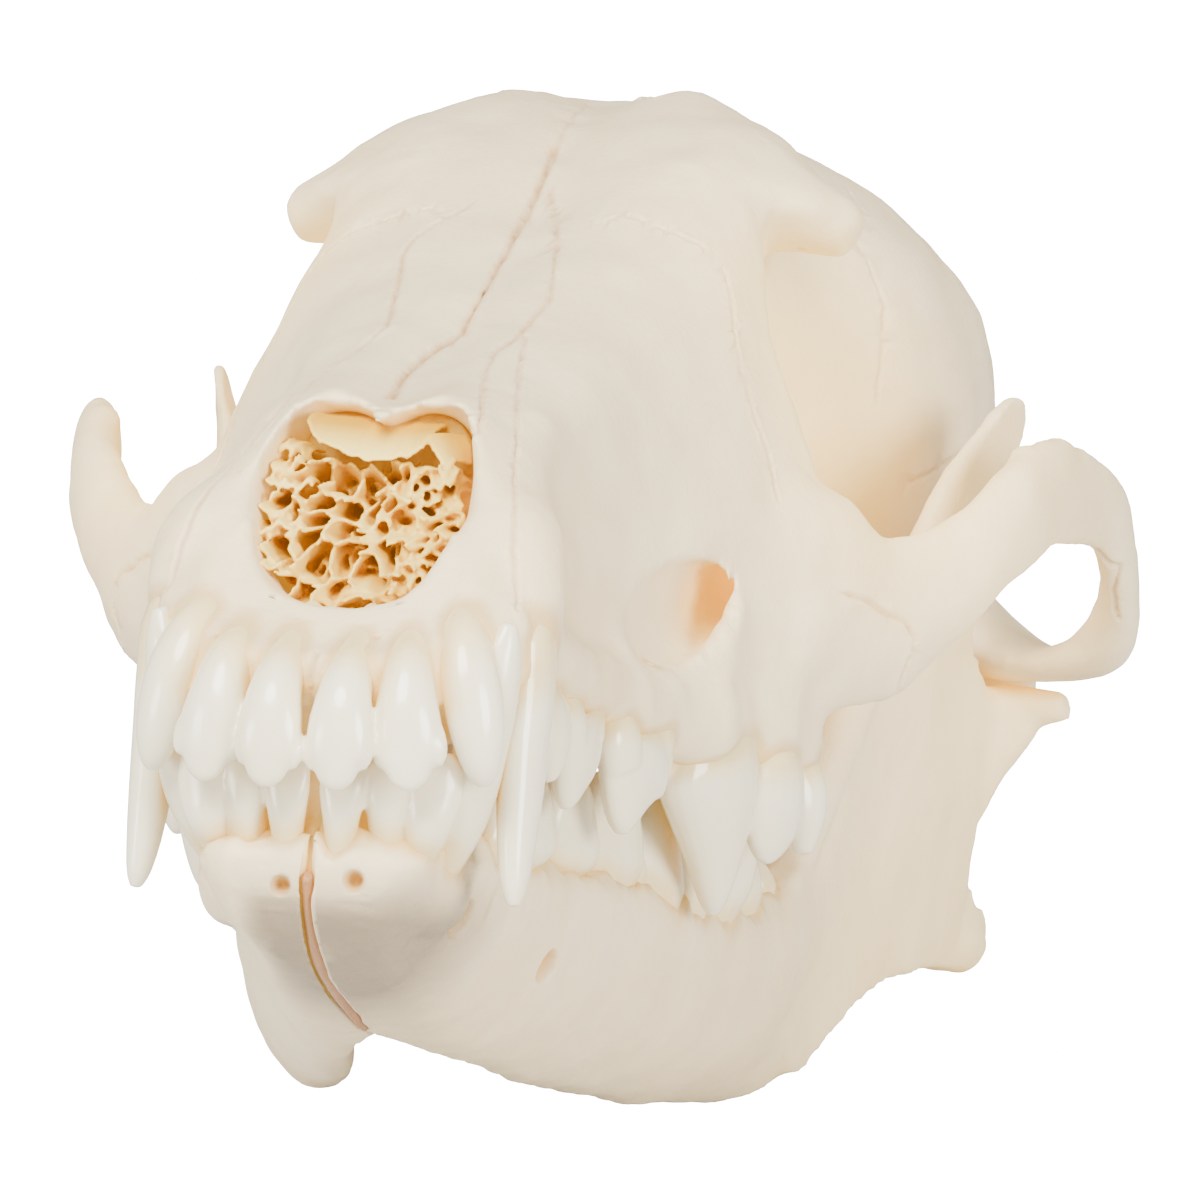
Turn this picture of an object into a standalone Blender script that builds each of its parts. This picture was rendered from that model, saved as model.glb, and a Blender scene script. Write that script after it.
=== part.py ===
"""A jackal's skull, life size, with its lower jaw closed, at rest on a table on the jaw's lower edge.

The skull is drawn in millimetres in its own frame: x to the animal's left, y from the front of the
upper jaw back to the occiput, z up from the plane of the palate. The last step tilts the whole
skull back on its jaw, brings it to metres and cuts the small flats that it rests on.
"""

import math

import bmesh
import bpy
from mathutils import Matrix, Vector

MM = 0.001

# Driving dimensions, in millimetres
JOINT_GAP = 0.3
REST_TILT = 13.9
FLAT_DEPTH = 0.5
# The skull isn't quite even: its left side stands higher, the more so at the brow, and both
# cheeks stand a little to the right
SKEW = 0.014
BROW_SKEW = 0.016
BROW_FROM = 30.0
CHEEK_SHIFT = 0.7
BONE_VOXEL = 0.85
BONE_SMOOTHING = 4
RIM_VOXEL = 0.7
RIM_SMOOTHING = 2
CRANIUM_TRIANGLES = 5200
MANDIBLE_TRIANGLES = 1200

BONE = ("bone", (0.86, 0.80, 0.70), 0.62)
TURBINATE = ("turbinate", (0.85, 0.62, 0.33), 0.70)

# Half sections of the face and braincase from the midline on top round to the midline below.
# Each starts with its y at the bottom and at the top, because the front ones lean back.
CRANIUM_SECTIONS = (
    (0.6, 13.5, (0, 17.6), (4.5, 17.8), (7.8, 15.8), (9.2, 11), (10, 5.5), (9.6, 0.2), (6, -1.6), (0, -1.6)),
    (2.6, 16.5, (0, 19.6), (4.6, 20.4), (8.8, 17.6), (10.8, 11.8), (12, 6), (11.6, 0), (8, -1.8), (0, -1.6)),
    (10, 22, (0, 21.0), (5.4, 21.9), (9.8, 18.8), (12.4, 12.5), (14.8, 6.2), (14.6, 1), (10, -1), (0, -0.5)),
    (20, 29, (0, 22.9), (6, 23.4), (10.2, 20.8), (12.2, 14), (13, 7), (13, 0.5), (9, -0.3), (0, 0.8)),
    (32, 37, (0, 25.4), (6, 25.8), (10.6, 23.2), (13.2, 15.5), (14.2, 8), (14.6, 0.3), (11, -0.3), (0, 1.5)),
    (44, 46, (0, 28.4), (6.2, 28.9), (11.2, 26.6), (14.8, 18), (16.6, 9), (17.6, -1.2), (14, -1.2), (0, 2)),
    (54, 55, (0, 32.5), (6.5, 33), (12.4, 30.4), (17.2, 22), (20.2, 11), (21.6, -2), (18, -2), (0, 2.4)),
    (63, 64, (0, 36.9), (7.5, 37.2), (13.8, 34.6), (19, 27.4), (23.4, 14), (24.4, -2.5), (20, -3), (0, 2.6)),
    (71, 72, (0, 41.2), (8.5, 41.6), (15.4, 38.8), (19, 31), (23, 18), (23.6, 2), (17, -3), (0, 2.6)),
    (79, 79, (0, 45), (9.5, 46), (16.2, 43.4), (16.4, 35), (14, 22), (12, 9), (8, 1), (0, 2.4)),
    (89, 89, (0, 49), (10, 50), (17.8, 46.4), (14.4, 36), (12, 22), (10.5, 9), (7.5, 2), (0, 3.6)),
    (98, 98, (0, 50.6), (8, 51), (15, 46.8), (15, 37), (15, 24), (12.5, 11), (8, 5), (0, 5)),
    (108, 108, (0, 51), (6, 50.4), (14, 46.7), (20.5, 38.5), (22, 26), (18, 13), (10, 7), (0, 6)),
    (119, 119, (0, 51.6), (6.5, 50.4), (16.8, 46.5), (25, 38), (26.8, 25), (22, 12), (12, 7), (0, 6.5)),
    (130, 130, (0, 51.8), (6.5, 50.2), (18, 45.8), (26.6, 37), (28, 25.5), (24, 13), (13, 8), (0, 7)),
    (140, 140, (0, 51.6), (6, 49.6), (16.5, 44.6), (25.2, 35.6), (27.4, 25), (24.5, 14), (14, 8), (0, 7)),
    (149, 149, (0, 50.2), (5, 48.2), (13.8, 42.5), (21.5, 34), (24.5, 24), (22.5, 14), (13, 8), (0, 7.5)),
    (155, 155, (0, 47.5), (4, 45), (10, 39), (15.5, 32), (18, 24), (16, 15), (9, 10), (0, 9)),
)

# Swept bars: x, y, z of the centre line, half height, half thickness
ZYGOMATIC_ARCH = (
    (21, 62, 11, 8, 3),
    (24.4, 67.5, 9.8, 8.8, 3.6),
    (28.6, 74, 9.0, 7.0, 3.0),
    (33.0, 81, 12.3, 4.6, 2.5),
    (36.9, 88, 17.0, 4.3, 2.2),
    (38.9, 95.5, 20.2, 4.6, 1.9),
    (40.8, 103, 20.1, 3.8, 1.7),
    (42.3, 109, 18.5, 3.2, 1.6),
    (42.6, 115, 14.1, 2.9, 1.7),
    (40.9, 119.4, 10.0, 2.3, 2.5),
    (37.6, 122.8, 8.1, 1.7, 3.8),
    (34, 125.5, 8.0, 1.7, 4.8),
    (30, 127.5, 9.4, 2.8, 5.6),
    (25.5, 128.6, 11.8, 4.3, 5.8),
)
FRONTAL_PROCESS = ((38.0, 92, 18, 2.4, 1.6), (37.8, 91.6, 21.4, 1.9, 1.4), (36.8, 91, 23.4, 1.1, 1.0))
ALVEOLAR_BAR = (
    (12.5, 28, 0.6, 2.4, 2.2),
    (16.2, 44, 0.0, 3.0, 2.6),
    (20.2, 57, -0.6, 3.2, 3.0),
    (22.4, 67, -1.2, 3.2, 3.2),
    (21, 76, -1.6, 3.0, 3.2),
    (18.6, 81.5, -0.6, 2.2, 2.6),
)
POSTORBITAL_PROCESS = (
    (8, 81.5, 43.7, 3.4, 8),
    (14.5, 83.8, 43, 3.0, 6.4),
    (19.4, 85.6, 41.4, 2.3, 4.4),
    (22.9, 87, 39.5, 1.6, 2.4),
)
PTERYGOID_PLATE = (
    (8.8, 78, -0.2, 3.2, 1.1),
    (7.8, 90, 0.6, 4.2, 0.9),
    (7.4, 101, 0.4, 4.6, 0.8),
    (7.2, 106, -2.4, 1.6, 0.7),
)
SAGITTAL_CREST = (
    (0, 104, 49.4, 1.6, 0.9),
    (0, 122, 51.4, 1.9, 0.8),
    (0, 140, 52.6, 2.2, 0.8),
    (0, 153, 52, 2.6, 0.9),
    (0, 160, 48.6, 2.4, 1.2),
)
NUCHAL_CREST = (
    (0, 158.6, 48.0, 2.6, 1.8),
    (8, 157.2, 45.2, 2.8, 1.7),
    (15.4, 154.4, 38.6, 2.4, 1.6),
    (20.6, 151.4, 30, 1.7, 1.6),
    (23.6, 147.6, 20.5, 1.8, 2.2),
    (23.4, 146, 13, 1.6, 2.4),
)
OCCIPITAL_RIDGE = ((0, 157.6, 48, 3.2, 4.2), (0, 157.4, 42.6, 3.2, 3.2), (0, 157, 36, 2.4, 1.6))
TEMPORAL_LINE = (
    (19.4, 88.5, 42.6, 1.2, 1.3),
    (16.2, 93.5, 46.0, 1.0, 1.1),
    (13.6, 98, 47.2, 0.9, 1.0),
    (8.6, 105, 49.2, 0.8, 0.9),
    (1.5, 114, 50.6, 0.8, 0.8),
)
PAROCCIPITAL_PROCESS = (
    (17.6, 146, 10, 3.6, 3.4),
    (17.8, 148.4, 3, 2.6, 1.8),
    (17.4, 149.4, -3.6, 1.0, 0.9),
)

# Rounded lumps: centre, half sizes, turn about x in degrees
BULLA = ((14.4, 136.5, 5), (7.2, 11, 8), -6)
OCCIPITAL_CONDYLE = ((7.6, 153.5, 11), (4.4, 6.2, 5.2), 25)
MASTOID = ((22.6, 146, 14), (4, 4.5, 6.5), 0)
OCCIPUT = ((0, 151, 31), (16.5, 8.5, 18.5), 0)
RETROARTICULAR = ((29, 132.2, 6.2), (4.6, 1.9, 4.6), 0)
EAR_TUBE = ((22.4, 137, 10), (4.5, 4.0, 3.6), 0)

# Hollows of the cranium
ORBIT = ((24.9, 83.2, 26.2), (12.2, 14.6, 11.0), 0)
EAR_HOLE = ((26.4, 137, 9.6), (3.8, 2.1, 2.0), 0)
FORAMEN_MAGNUM = ((0, 157, 15.5), (6.4, 15, 5.4), 0)
CHOANA = ((0, 92, 1.2), (5.6, 14, 4.4), -4)
INFRAORBITAL_CANAL = (
    (15.9, 39.5, 5.8, 2.0, 1.0),
    (17.2, 45, 7.2, 3.4, 1.7),
    (18.2, 50.5, 8.4, 3.5, 1.8),
    (18.8, 58, 9.6, 2.6, 1.6),
    (20.0, 66, 12, 2.4, 1.6),
    (21.0, 75, 15, 2.4, 2.0),
)
# Outline of the nasal opening in x and z, one side from the notch on top round to the floor
NASAL_OPENING = (
    (0, 18.6),
    (1.1, 19.6),
    (3.4, 20.6),
    (5.8, 19.8),
    (7.2, 17),
    (7.6, 13.6),
    (7.1, 10),
    (5.4, 7),
    (2.8, 5.6),
    (0, 5.3),
)
NASAL_DEPTH = 26.0

# Sections of the lower jaw's body at each y, as x and z from the inner top round by the outside
JAW_SECTIONS = (
    (2.2, (0.6, -12), (5.2, -12), (5.9, -13.0), (5, -14.6), (3, -15.4), (0.7, -15), (0.5, -13.6)),
    (4.5, (0.5, -10.2), (7.4, -11.2), (7.8, -13.4), (6.2, -16), (4, -17.8), (0.6, -17.4), (0.4, -14.5)),
    (10, (0.5, -9.6), (9.0, -11), (8.6, -14), (6.0, -18), (3.6, -20.4), (0.6, -20.2), (0.4, -15.5)),
    (18, (0.5, -11), (9.6, -11.6), (9.5, -15), (6.8, -20), (3.6, -22.4), (0.6, -22.4), (0.4, -17)),
    (27, (1.2, -11.8), (10.3, -11.9), (10.7, -15.4), (7.8, -21.2), (4.4, -24.1), (0.8, -24.3), (0.8, -18)),
    (36, (4.4, -12.2), (12, -12.2), (12.5, -15.6), (9.7, -22.2), (5.8, -25.9), (2.6, -25.5), (3.2, -19)),
    (47, (7.4, -12.6), (14.2, -12.6), (15.0, -16), (12.2, -23.2), (8.2, -27.5), (5.2, -26.9), (6, -20)),
    (58, (9.8, -13.8), (16.4, -13.8), (17.2, -17), (14.8, -24.4), (10.8, -28.6), (7.4, -28.0), (8.2, -21)),
    (70, (12.2, -14.6), (18.6, -14.6), (19.6, -18), (17.4, -25.2), (13.4, -29.4), (9.9, -28.6), (10.8, -21)),
    (82, (15.4, -12.4), (20.8, -12.4), (22, -17), (20.0, -24.8), (16.4, -29.3), (13.4, -28.4), (14.4, -20)),
    (94, (18.6, -8), (22.6, -8), (23.4, -15), (21.4, -22.6), (19.2, -28.0), (16.6, -26.6), (17.2, -17)),
    (103, (21.0, -6), (24.2, -6), (24.4, -14), (22.2, -19.4), (20.4, -22.6), (19.0, -22.0), (19.8, -15)),
)
RAMUS_OUTLINE = (
    *((82, -14), (87.5, -8), (93, 4), (97.5, 15), (102, 23), (106, 27), (109.6, 28.4), (113, 27)),
    *((114.8, 21), (116, 13), (118.6, 8), (122, 6), (126, 5.2), (129, 4.0), (129.8, 1), (128.4, -4)),
    *((127.2, -9), (130, -12), (134, -13.6), (135, -16), (132.6, -18.2), (125, -18.2), (119, -18.4)),
    *((113, -19), (107, -20.4), (100, -23.6), (92, -27)),
)
RAMUS_HALF_THICKNESS = 1.6
CORONOID_EDGE = (
    (87, -10, 2.0),
    (92, 2, 2.2),
    (96.8, 12.6, 2.0),
    (101, 20.4, 1.8),
    (106, 25.2, 1.5),
    (110.6, 26.6, 1.2),
)
CONDYLE = (
    (25.6, 128, 2.2, 1.3, 1.6),
    (29, 127.4, 3.4, 1.8, 2.3),
    (33.4, 127, 3.9, 1.8, 2.3),
    (36.9, 126.7, 4.2, 1.3, 1.7),
)
CONDYLE_NECK = ((28.0, 126, -7, 1.4, 1.2), (30.2, 126.8, -2, 1.8, 1.5), (32.4, 127, 2.6, 2.0, 2.2))
ANGULAR_TIP = ((28.2, 131.2, -15.9), (2.4, 4.2, 2.7), 0)
MASSETERIC_FOSSA = ((33.2, 111, 3), (5.4, 10, 12), 0)

# Teeth: each is a list of cones. A cone is its buried root, its neck and its tip, then the half width
# along the tooth row and across it at the neck, and the turn of the row there in degrees.
UPPER_TEETH = {
    "incisor_1": (((2.2, 8, 4), (2.4, 0.6, -0.2), (2.45, -1.6, -7.5), 1.9, 1.6, 0),),
    "incisor_2": (((5.6, 9, 4.5), (6.6, 1.6, 0.4), (7.4, -0.1, -7.4), 2.1, 1.8, 8),),
    "incisor_3": (((8.4, 10.4, 6), (9.7, 3.3, 2.4), (11.9, 3.0, -6.9), 1.9, 1.3, 28),),
    "canine": (((11.2, 16.5, 9), (13.5, 10.9, 4.4), (13.8, 9.0, -15.2), 2.6, 1.5, 86),),
    "premolar_1": (((13.2, 18.4, 4), (13.7, 18.4, -0.4), (14.0, 18.0, -3.8), 2.0, 1.3, 84),),
    "premolar_2": (
        ((13.8, 26.4, 3), (14.0, 26.2, -0.2), (14.1, 25.4, -7.8), 3.9, 1.5, 82),
        ((14.2, 29.6, 2), (14.4, 29.6, -0.6), (14.5, 29.9, -3.4), 1.8, 1.3, 82),
    ),
    "premolar_3": (
        ((15.2, 38.0, 2), (15.6, 37.8, -0.8), (16.2, 36.8, -9.2), 4.6, 1.8, 74),
        ((16.6, 42.2, 1), (17.0, 42.4, -1.4), (17.2, 42.8, -4.8), 2.0, 1.5, 74),
    ),
    "carnassial": (
        ((19.4, 55.0, 1), (19.5, 54.8, -2.6), (19.9, 57.2, -14.7), 5.8, 3.0, 66),
        ((21.8, 61.4, 0), (22.2, 61.4, -3.0), (22.6, 61.6, -10.0), 4.2, 2.3, 66),
        ((17.0, 49.4, 1), (16.6, 49.4, -1.6), (15.9, 49.6, -5.4), 2.4, 2.2, 60),
    ),
    "molar_1": (
        ((22.6, 67.2, 0), (22.9, 67.2, -3.6), (23.4, 67.4, -8.6), 3.0, 2.8, 76),
        ((22.2, 71.8, 0), (22.4, 71.8, -3.8), (22.6, 71.8, -7.8), 2.7, 2.7, 84),
        ((17.6, 69.2, 0), (17.6, 69.2, -3.2), (17.8, 69.2, -6.2), 3.9, 3.6, 84),
    ),
    "molar_2": (
        ((20.4, 76.8, 0), (20.4, 76.8, -3.8), (20.4, 76.8, -6.6), 2.6, 2.8, 88),
        ((17.0, 77.2, 0), (17.0, 77.2, -3.4), (17.0, 77.2, -5.4), 2.6, 2.6, 88),
    ),
}
LOWER_TEETH = {
    "incisor_1": (((1.9, 7, -17), (1.9, 3.6, -11.4), (2.0, 2.7, -6.0), 1.3, 1.4, 0),),
    "incisor_2": (((4.6, 8, -16), (4.9, 4.8, -10.8), (5.2, 3.6, -6.0), 1.5, 1.5, 6),),
    "incisor_3": (((7.1, 8.6, -16), (7.4, 5.2, -11.6), (8.4, 4.0, -6.0), 1.6, 1.6, 18),),
    "canine": (((4.6, 14, -16.6), (8.9, 8.9, -11.6), (13.0, 5.6, 5.2), 1.9, 1.6, 55),),
    "premolar_1": (((9.2, 20, -15), (9.4, 20, -12), (9.6, 19.6, -8.8), 1.9, 1.2, 84),),
    "premolar_2": (((10.0, 28.6, -15), (10.2, 28.4, -12.2), (10.3, 28, -6.6), 3.7, 1.4, 80),),
    "premolar_3": (((11.2, 39.0, -15), (11.4, 38.8, -12.4), (11.6, 38.4, -6.2), 4.1, 1.6, 76),),
    "premolar_4": (
        ((12.8, 48.6, -16), (12.9, 48.4, -12.6), (13.1, 48.0, -5.2), 4.4, 1.8, 72),
        ((13.8, 52.0, -16), (14.0, 52.0, -13), (14.0, 52.4, -9.2), 1.9, 1.6, 72),
    ),
    "carnassial": (
        ((14.6, 57.2, -17), (14.7, 57.2, -13.6), (14.8, 57.2, -7.2), 3.8, 2.2, 68),
        ((15.6, 62.6, -17), (15.6, 62.6, -14), (15.6, 62.8, -5.4), 4.6, 2.3, 68),
        ((16.6, 69.2, -18), (16.8, 69.2, -14.4), (16.8, 69.2, -10.6), 3.8, 2.7, 68),
    ),
    "molar_2": (((17.6, 76.0, -16), (17.6, 76.0, -13.6), (17.8, 76.0, -9.6), 3.4, 2.6, 72),),
    "molar_3": (((18.9, 81.2, -15), (18.9, 81.2, -12.6), (18.9, 81.2, -10.2), 1.9, 1.8, 74),),
}
CONE_SHAPE = ((0.0, 1.0), (0.25, 1.05), (0.6, 0.74), (0.9, 0.34))
CANINE_SHAPE = ((0.0, 1.0), (0.4, 1.02), (0.72, 0.84), (0.95, 0.48))
INCISOR_SHAPE = ((0.0, 0.84), (0.35, 1.1), (0.7, 1.22), (0.96, 0.7))
NOTCH_SHAPE = ((0.0, 1.0), (0.5, 1.0), (0.8, 0.8), (1.0, 0.5))
CONE_SIDES = 7
CANINE_ROOM = 0.6

# Planes that part the cranium into its named regions
FACE_PLANE_POINT = (0, 86.5, 0)
FACE_PLANE_LEAN = 0.42
ARCH_PLANE_X = 29.4


def clear_scene():
    for old in list(bpy.data.objects):
        bpy.data.objects.remove(old, do_unlink=True)
    for old in list(bpy.data.collections):
        bpy.data.collections.remove(old)


def new_object(name, bm):
    """The bmesh, drawn in millimetres, as an object in metres."""
    bmesh.ops.recalc_face_normals(bm, faces=bm.faces)
    bmesh.ops.scale(bm, vec=(MM, MM, MM), verts=bm.verts)
    mesh = bpy.data.meshes.new(name)
    bm.to_mesh(mesh)
    bm.free()
    made = bpy.data.objects.new(name, mesh)
    bpy.context.scene.collection.objects.link(made)
    return made


def between(a, b, c, d, t):
    """A point on the smooth curve through b and c, at t from 0 to 1, with a and d beyond them."""
    return 0.5 * (2 * b + (c - a) * t + (2 * a - 5 * b + 4 * c - d) * t**2 + (3 * b - a - 3 * c + d) * t**3)


def smooth_open(points, steps):
    """Points on a smooth curve through the given ones, with this many steps in each span."""
    ends = [points[0], *points, points[-1]]
    spans = [ends[i : i + 4] for i in range(len(points) - 1)]
    return [between(*span, step / steps) for span in spans for step in range(steps)] + [points[-1]]


def smooth_closed(points, steps):
    count = len(points)
    return [
        between(points[i - 1], points[i], points[(i + 1) % count], points[(i + 2) % count], step / steps)
        for i in range(count)
        for step in range(steps)
    ]


def loft(name, rings):
    """A closed solid through rings of equally many points."""
    bm = bmesh.new()
    rows = [[bm.verts.new(point) for point in ring] for ring in rings]
    for near, far in zip(rows, rows[1:]):
        for i in range(len(near)):
            bm.faces.new((near[i - 1], near[i], far[i], far[i - 1]))
    bm.faces.new(rows[0])
    bm.faces.new(reversed(rows[-1]))
    return new_object(name, bm)


def section_ring(y_low, y_high, half):
    """One closed section of the cranium: its half outline, mirrored, leaning from y_low to y_high."""
    outline = list(half) + [(-x, z) for x, z in half[-2:0:-1]]
    low = min(z for _, z in half)
    high = max(z for _, z in half)
    return [Vector((x, y_low + (y_high - y_low) * (z - low) / (high - low), z)) for x, z in outline]


def cranium_shell():
    rings = [section_ring(row[0], row[1], row[2:]) for row in CRANIUM_SECTIONS]
    columns = [smooth_open(list(column), 3) for column in zip(*rings)]
    return loft("cranium", [smooth_closed(list(ring), 3) for ring in zip(*columns)])


def shifted(nodes, side):
    """The nodes of a cheek's bar, moved to the animal's right between the muzzle and the jaw joint."""
    made = []
    for x, y, *rest in nodes:
        share = min(1, max(0, (y - 66) / 16)) * min(1, max(0, (122 - y) / 8))
        made.append((x - side * CHEEK_SHIFT * share, y, *rest))
    return made


def skewed(part, fades=True):
    """Raises the animal's left side and lowers its right one, which may fade at the jaw joint."""
    for vert in part.data.vertices:
        share = min(1, max(0, (120 - vert.co.y / MM) / 10)) if fades else 1
        brow = min(1, max(0, vert.co.z / MM - BROW_FROM) / 15)
        vert.co.z += (SKEW + BROW_SKEW * brow) * vert.co.x * share
    return part


def bar(name, nodes, side, sides=12, steps=3, upright=(0, 0, 1)):
    """A swept bar with oval sections, along centre points that each state a half height and thickness."""
    stations = smooth_open([Vector((side * n[0], n[1], n[2], n[3], n[4])) for n in map(tuple, nodes)], steps)
    centres = [Vector(station[:3]) for station in stations]
    rings = []
    for i, station in enumerate(stations):
        along = (centres[min(i + 1, len(centres) - 1)] - centres[max(i - 1, 0)]).normalized()
        across = along.cross(Vector(upright)).normalized()
        up = across.cross(along)
        turns = [2 * math.pi * k / sides for k in range(sides)]
        rings.append(
            [centres[i] + up * station[3] * math.sin(a) + across * station[4] * math.cos(a) for a in turns]
        )
    return loft(name, rings)


def lump(name, shape, side=1):
    """A rounded lump: a sphere stretched to its half sizes and turned about the x axis."""
    centre, half_sizes, turn = shape
    bm = bmesh.new()
    place = (
        Matrix.Translation((side * centre[0], centre[1], centre[2]))
        @ Matrix.Rotation(math.radians(turn), 4, "X")
        @ Matrix.Diagonal((*half_sizes, 1))
    )
    bmesh.ops.create_uvsphere(bm, u_segments=24, v_segments=14, radius=1, matrix=place)
    return new_object(name, bm)


def join(name, objects):
    """One object that holds the shells of all of them."""
    bm = bmesh.new()
    for part in objects:
        bm.from_mesh(part.data)
        bpy.data.objects.remove(part, do_unlink=True)
    mesh = bpy.data.meshes.new(name)
    bm.to_mesh(mesh)
    bm.free()
    made = bpy.data.objects.new(name, mesh)
    bpy.context.scene.collection.objects.link(made)
    return made


def apply_modifiers(part):
    graph = bpy.context.evaluated_depsgraph_get()
    mesh = bpy.data.meshes.new_from_object(part.evaluated_get(graph))
    part.modifiers.clear()
    part.data = mesh
    return part


def keep_largest(part):
    """Leaves only the largest closed surface of a mesh."""
    bm = bmesh.new()
    bm.from_mesh(part.data)
    left = set(bm.verts)
    groups = []
    while left:
        group = set()
        front = [left.pop()]
        while front:
            vert = front.pop()
            group.add(vert)
            near = {edge.other_vert(vert) for edge in vert.link_edges} & left
            left -= near
            front.extend(near)
        groups.append(group)
    largest = max(groups, key=len)
    bmesh.ops.delete(bm, geom=[vert for vert in bm.verts if vert not in largest], context="VERTS")
    bm.to_mesh(part.data)
    bm.free()
    return part


def fuse(part, voxel, smoothing):
    """Grows overlapping shells into one smooth surface, as bone grows round its parts."""
    remesh = part.modifiers.new("fuse", "REMESH")
    remesh.mode = "VOXEL"
    remesh.voxel_size = voxel * MM
    smooth = part.modifiers.new("smooth", "SMOOTH")
    smooth.factor = 0.5
    smooth.iterations = smoothing
    return apply_modifiers(part)


def thin_out(part, triangles):
    """Collapses flat stretches until about this many triangles are left."""
    part.data.calc_loop_triangles()
    decimate = part.modifiers.new("thin_out", "DECIMATE")
    decimate.ratio = min(1.0, triangles / len(part.data.loop_triangles))
    return apply_modifiers(part)


def boolean(part, tools, operation):
    """Cuts the tools from the part, keeps what they share, or joins them to it."""
    gathered = bpy.data.collections.new("tools")
    for tool in tools:
        bpy.context.scene.collection.objects.unlink(tool)
        gathered.objects.link(tool)
    bpy.context.scene.collection.children.link(gathered)
    step = part.modifiers.new("boolean", "BOOLEAN")
    step.operand_type = "COLLECTION"
    step.collection = gathered
    step.operation = operation
    step.solver = "MANIFOLD"
    apply_modifiers(part)
    for tool in list(gathered.objects):
        bpy.data.objects.remove(tool, do_unlink=True)
    bpy.data.collections.remove(gathered)
    return part


def copy_of(part, name):
    made = part.copy()
    made.data = part.data.copy()
    made.name = name
    bpy.context.scene.collection.objects.link(made)
    return made


def nasal_cutter():
    """The hollow of the nose, as wide as its opening and narrowing inwards."""
    outline = [Vector(point) for point in NASAL_OPENING]
    outline += [Vector((-x, z)) for x, z in NASAL_OPENING[-2:0:-1]]
    middle = Vector((0, 12.8))
    rings = []
    for y, size in ((-8, 1.0), (4, 1.0), (12, 1.02), (18, 1.0), (NASAL_DEPTH, 0.86)):
        ring = [middle + (point - middle) * size for point in outline]
        rings.append([Vector((p.x, y, p.y + max(0.0, y - 12) * 0.06)) for p in smooth_closed(ring, 2)])
    return loft("nasal_cutter", rings)


def cranium_bone():
    """The whole cranium without its teeth, as one bone."""
    parts = [cranium_shell(), bar("sagittal_crest", SAGITTAL_CREST, 1), lump("occiput", OCCIPUT)]
    parts.append(bar("occipital_ridge", OCCIPITAL_RIDGE, 1, upright=(0, 1, 0)))
    for side in (1, -1):
        parts += [
            bar("zygomatic_arch", shifted(ZYGOMATIC_ARCH, side), side),
            bar("frontal_process", shifted(FRONTAL_PROCESS, side), side, upright=(0, 1, 0)),
            bar("alveolar_bar", ALVEOLAR_BAR, side),
            bar("postorbital_process", POSTORBITAL_PROCESS, side),
            bar("pterygoid_plate", PTERYGOID_PLATE, side),
            bar("nuchal_crest", NUCHAL_CREST, side, upright=(0, 1, 0)),
            bar("temporal_line", TEMPORAL_LINE, side),
            bar("paroccipital_process", PAROCCIPITAL_PROCESS, side, upright=(1, 0, 0)),
            lump("bulla", BULLA, side),
            lump("occipital_condyle", OCCIPITAL_CONDYLE, side),
            lump("mastoid", MASTOID, side),
            lump("retroarticular", RETROARTICULAR, side),
            lump("ear_tube", EAR_TUBE, side),
        ]
    bone = fuse(join("cranium_bone", parts), BONE_VOXEL, BONE_SMOOTHING)
    hollows = [nasal_cutter(), lump("foramen_magnum", FORAMEN_MAGNUM), lump("choana", CHOANA)]
    for side in (1, -1):
        hollows += [
            lump("orbit", ORBIT, side),
            lump("ear_hole", EAR_HOLE, side),
            bar("infraorbital_canal", INFRAORBITAL_CANAL, side),
        ]
    for hollow in hollows:
        boolean(bone, [hollow], "DIFFERENCE")
    keep_largest(bone)
    return thin_out(skewed(fuse(bone, RIM_VOXEL, RIM_SMOOTHING)), CRANIUM_TRIANGLES)


def ramus_x(y, z):
    """How far out the plate of the lower jaw's ramus stands at a place in its outline."""
    return 21.5 + 0.165 * (y - 90) + 0.25 * max(0.0, z + 5) + 0.16 * min(0.0, z + 14)


def ramus_plate(side):
    outline = smooth_closed([Vector(point) for point in RAMUS_OUTLINE], 2)
    rings = []
    for offset in (-RAMUS_HALF_THICKNESS, RAMUS_HALF_THICKNESS):
        rings.append([Vector((side * (ramus_x(p.x, p.y) + offset), p.x, p.y)) for p in outline])
    return loft("ramus_plate", rings)


def mandible_bone(name, side):
    rings = [[Vector((side * x, row[0], z)) for x, z in row[1:]] for row in JAW_SECTIONS]
    columns = [smooth_open(list(column), 3) for column in zip(*rings)]
    body = loft("jaw_body", [smooth_closed(list(ring), 3) for ring in zip(*columns)])
    edge = [(ramus_x(y, z), y, z, half, half * 0.95) for y, z, half in CORONOID_EDGE]
    parts = [
        body,
        ramus_plate(side),
        bar("coronoid_edge", edge, side, sides=10),
        bar("condyle", CONDYLE, side),
        bar("condyle_neck", CONDYLE_NECK, side, upright=(0, 1, 0)),
        lump("angular_tip", ANGULAR_TIP, side),
    ]
    bone = fuse(join(name, parts), BONE_VOXEL, BONE_SMOOTHING)
    boolean(bone, [lump("masseteric_fossa", MASSETERIC_FOSSA, side)], "DIFFERENCE")
    keep_largest(bone)
    thin_out(bone, MANDIBLE_TRIANGLES)
    skewed(boolean(bone, teeth(LOWER_TEETH, side), "UNION"), fades=False)
    low, high = sorted((side * JOINT_GAP / 2, side * 60))
    return boolean(bone, [box("own_side", (low, -20, -60), (high, 160, 60))], "INTERSECT")


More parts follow.
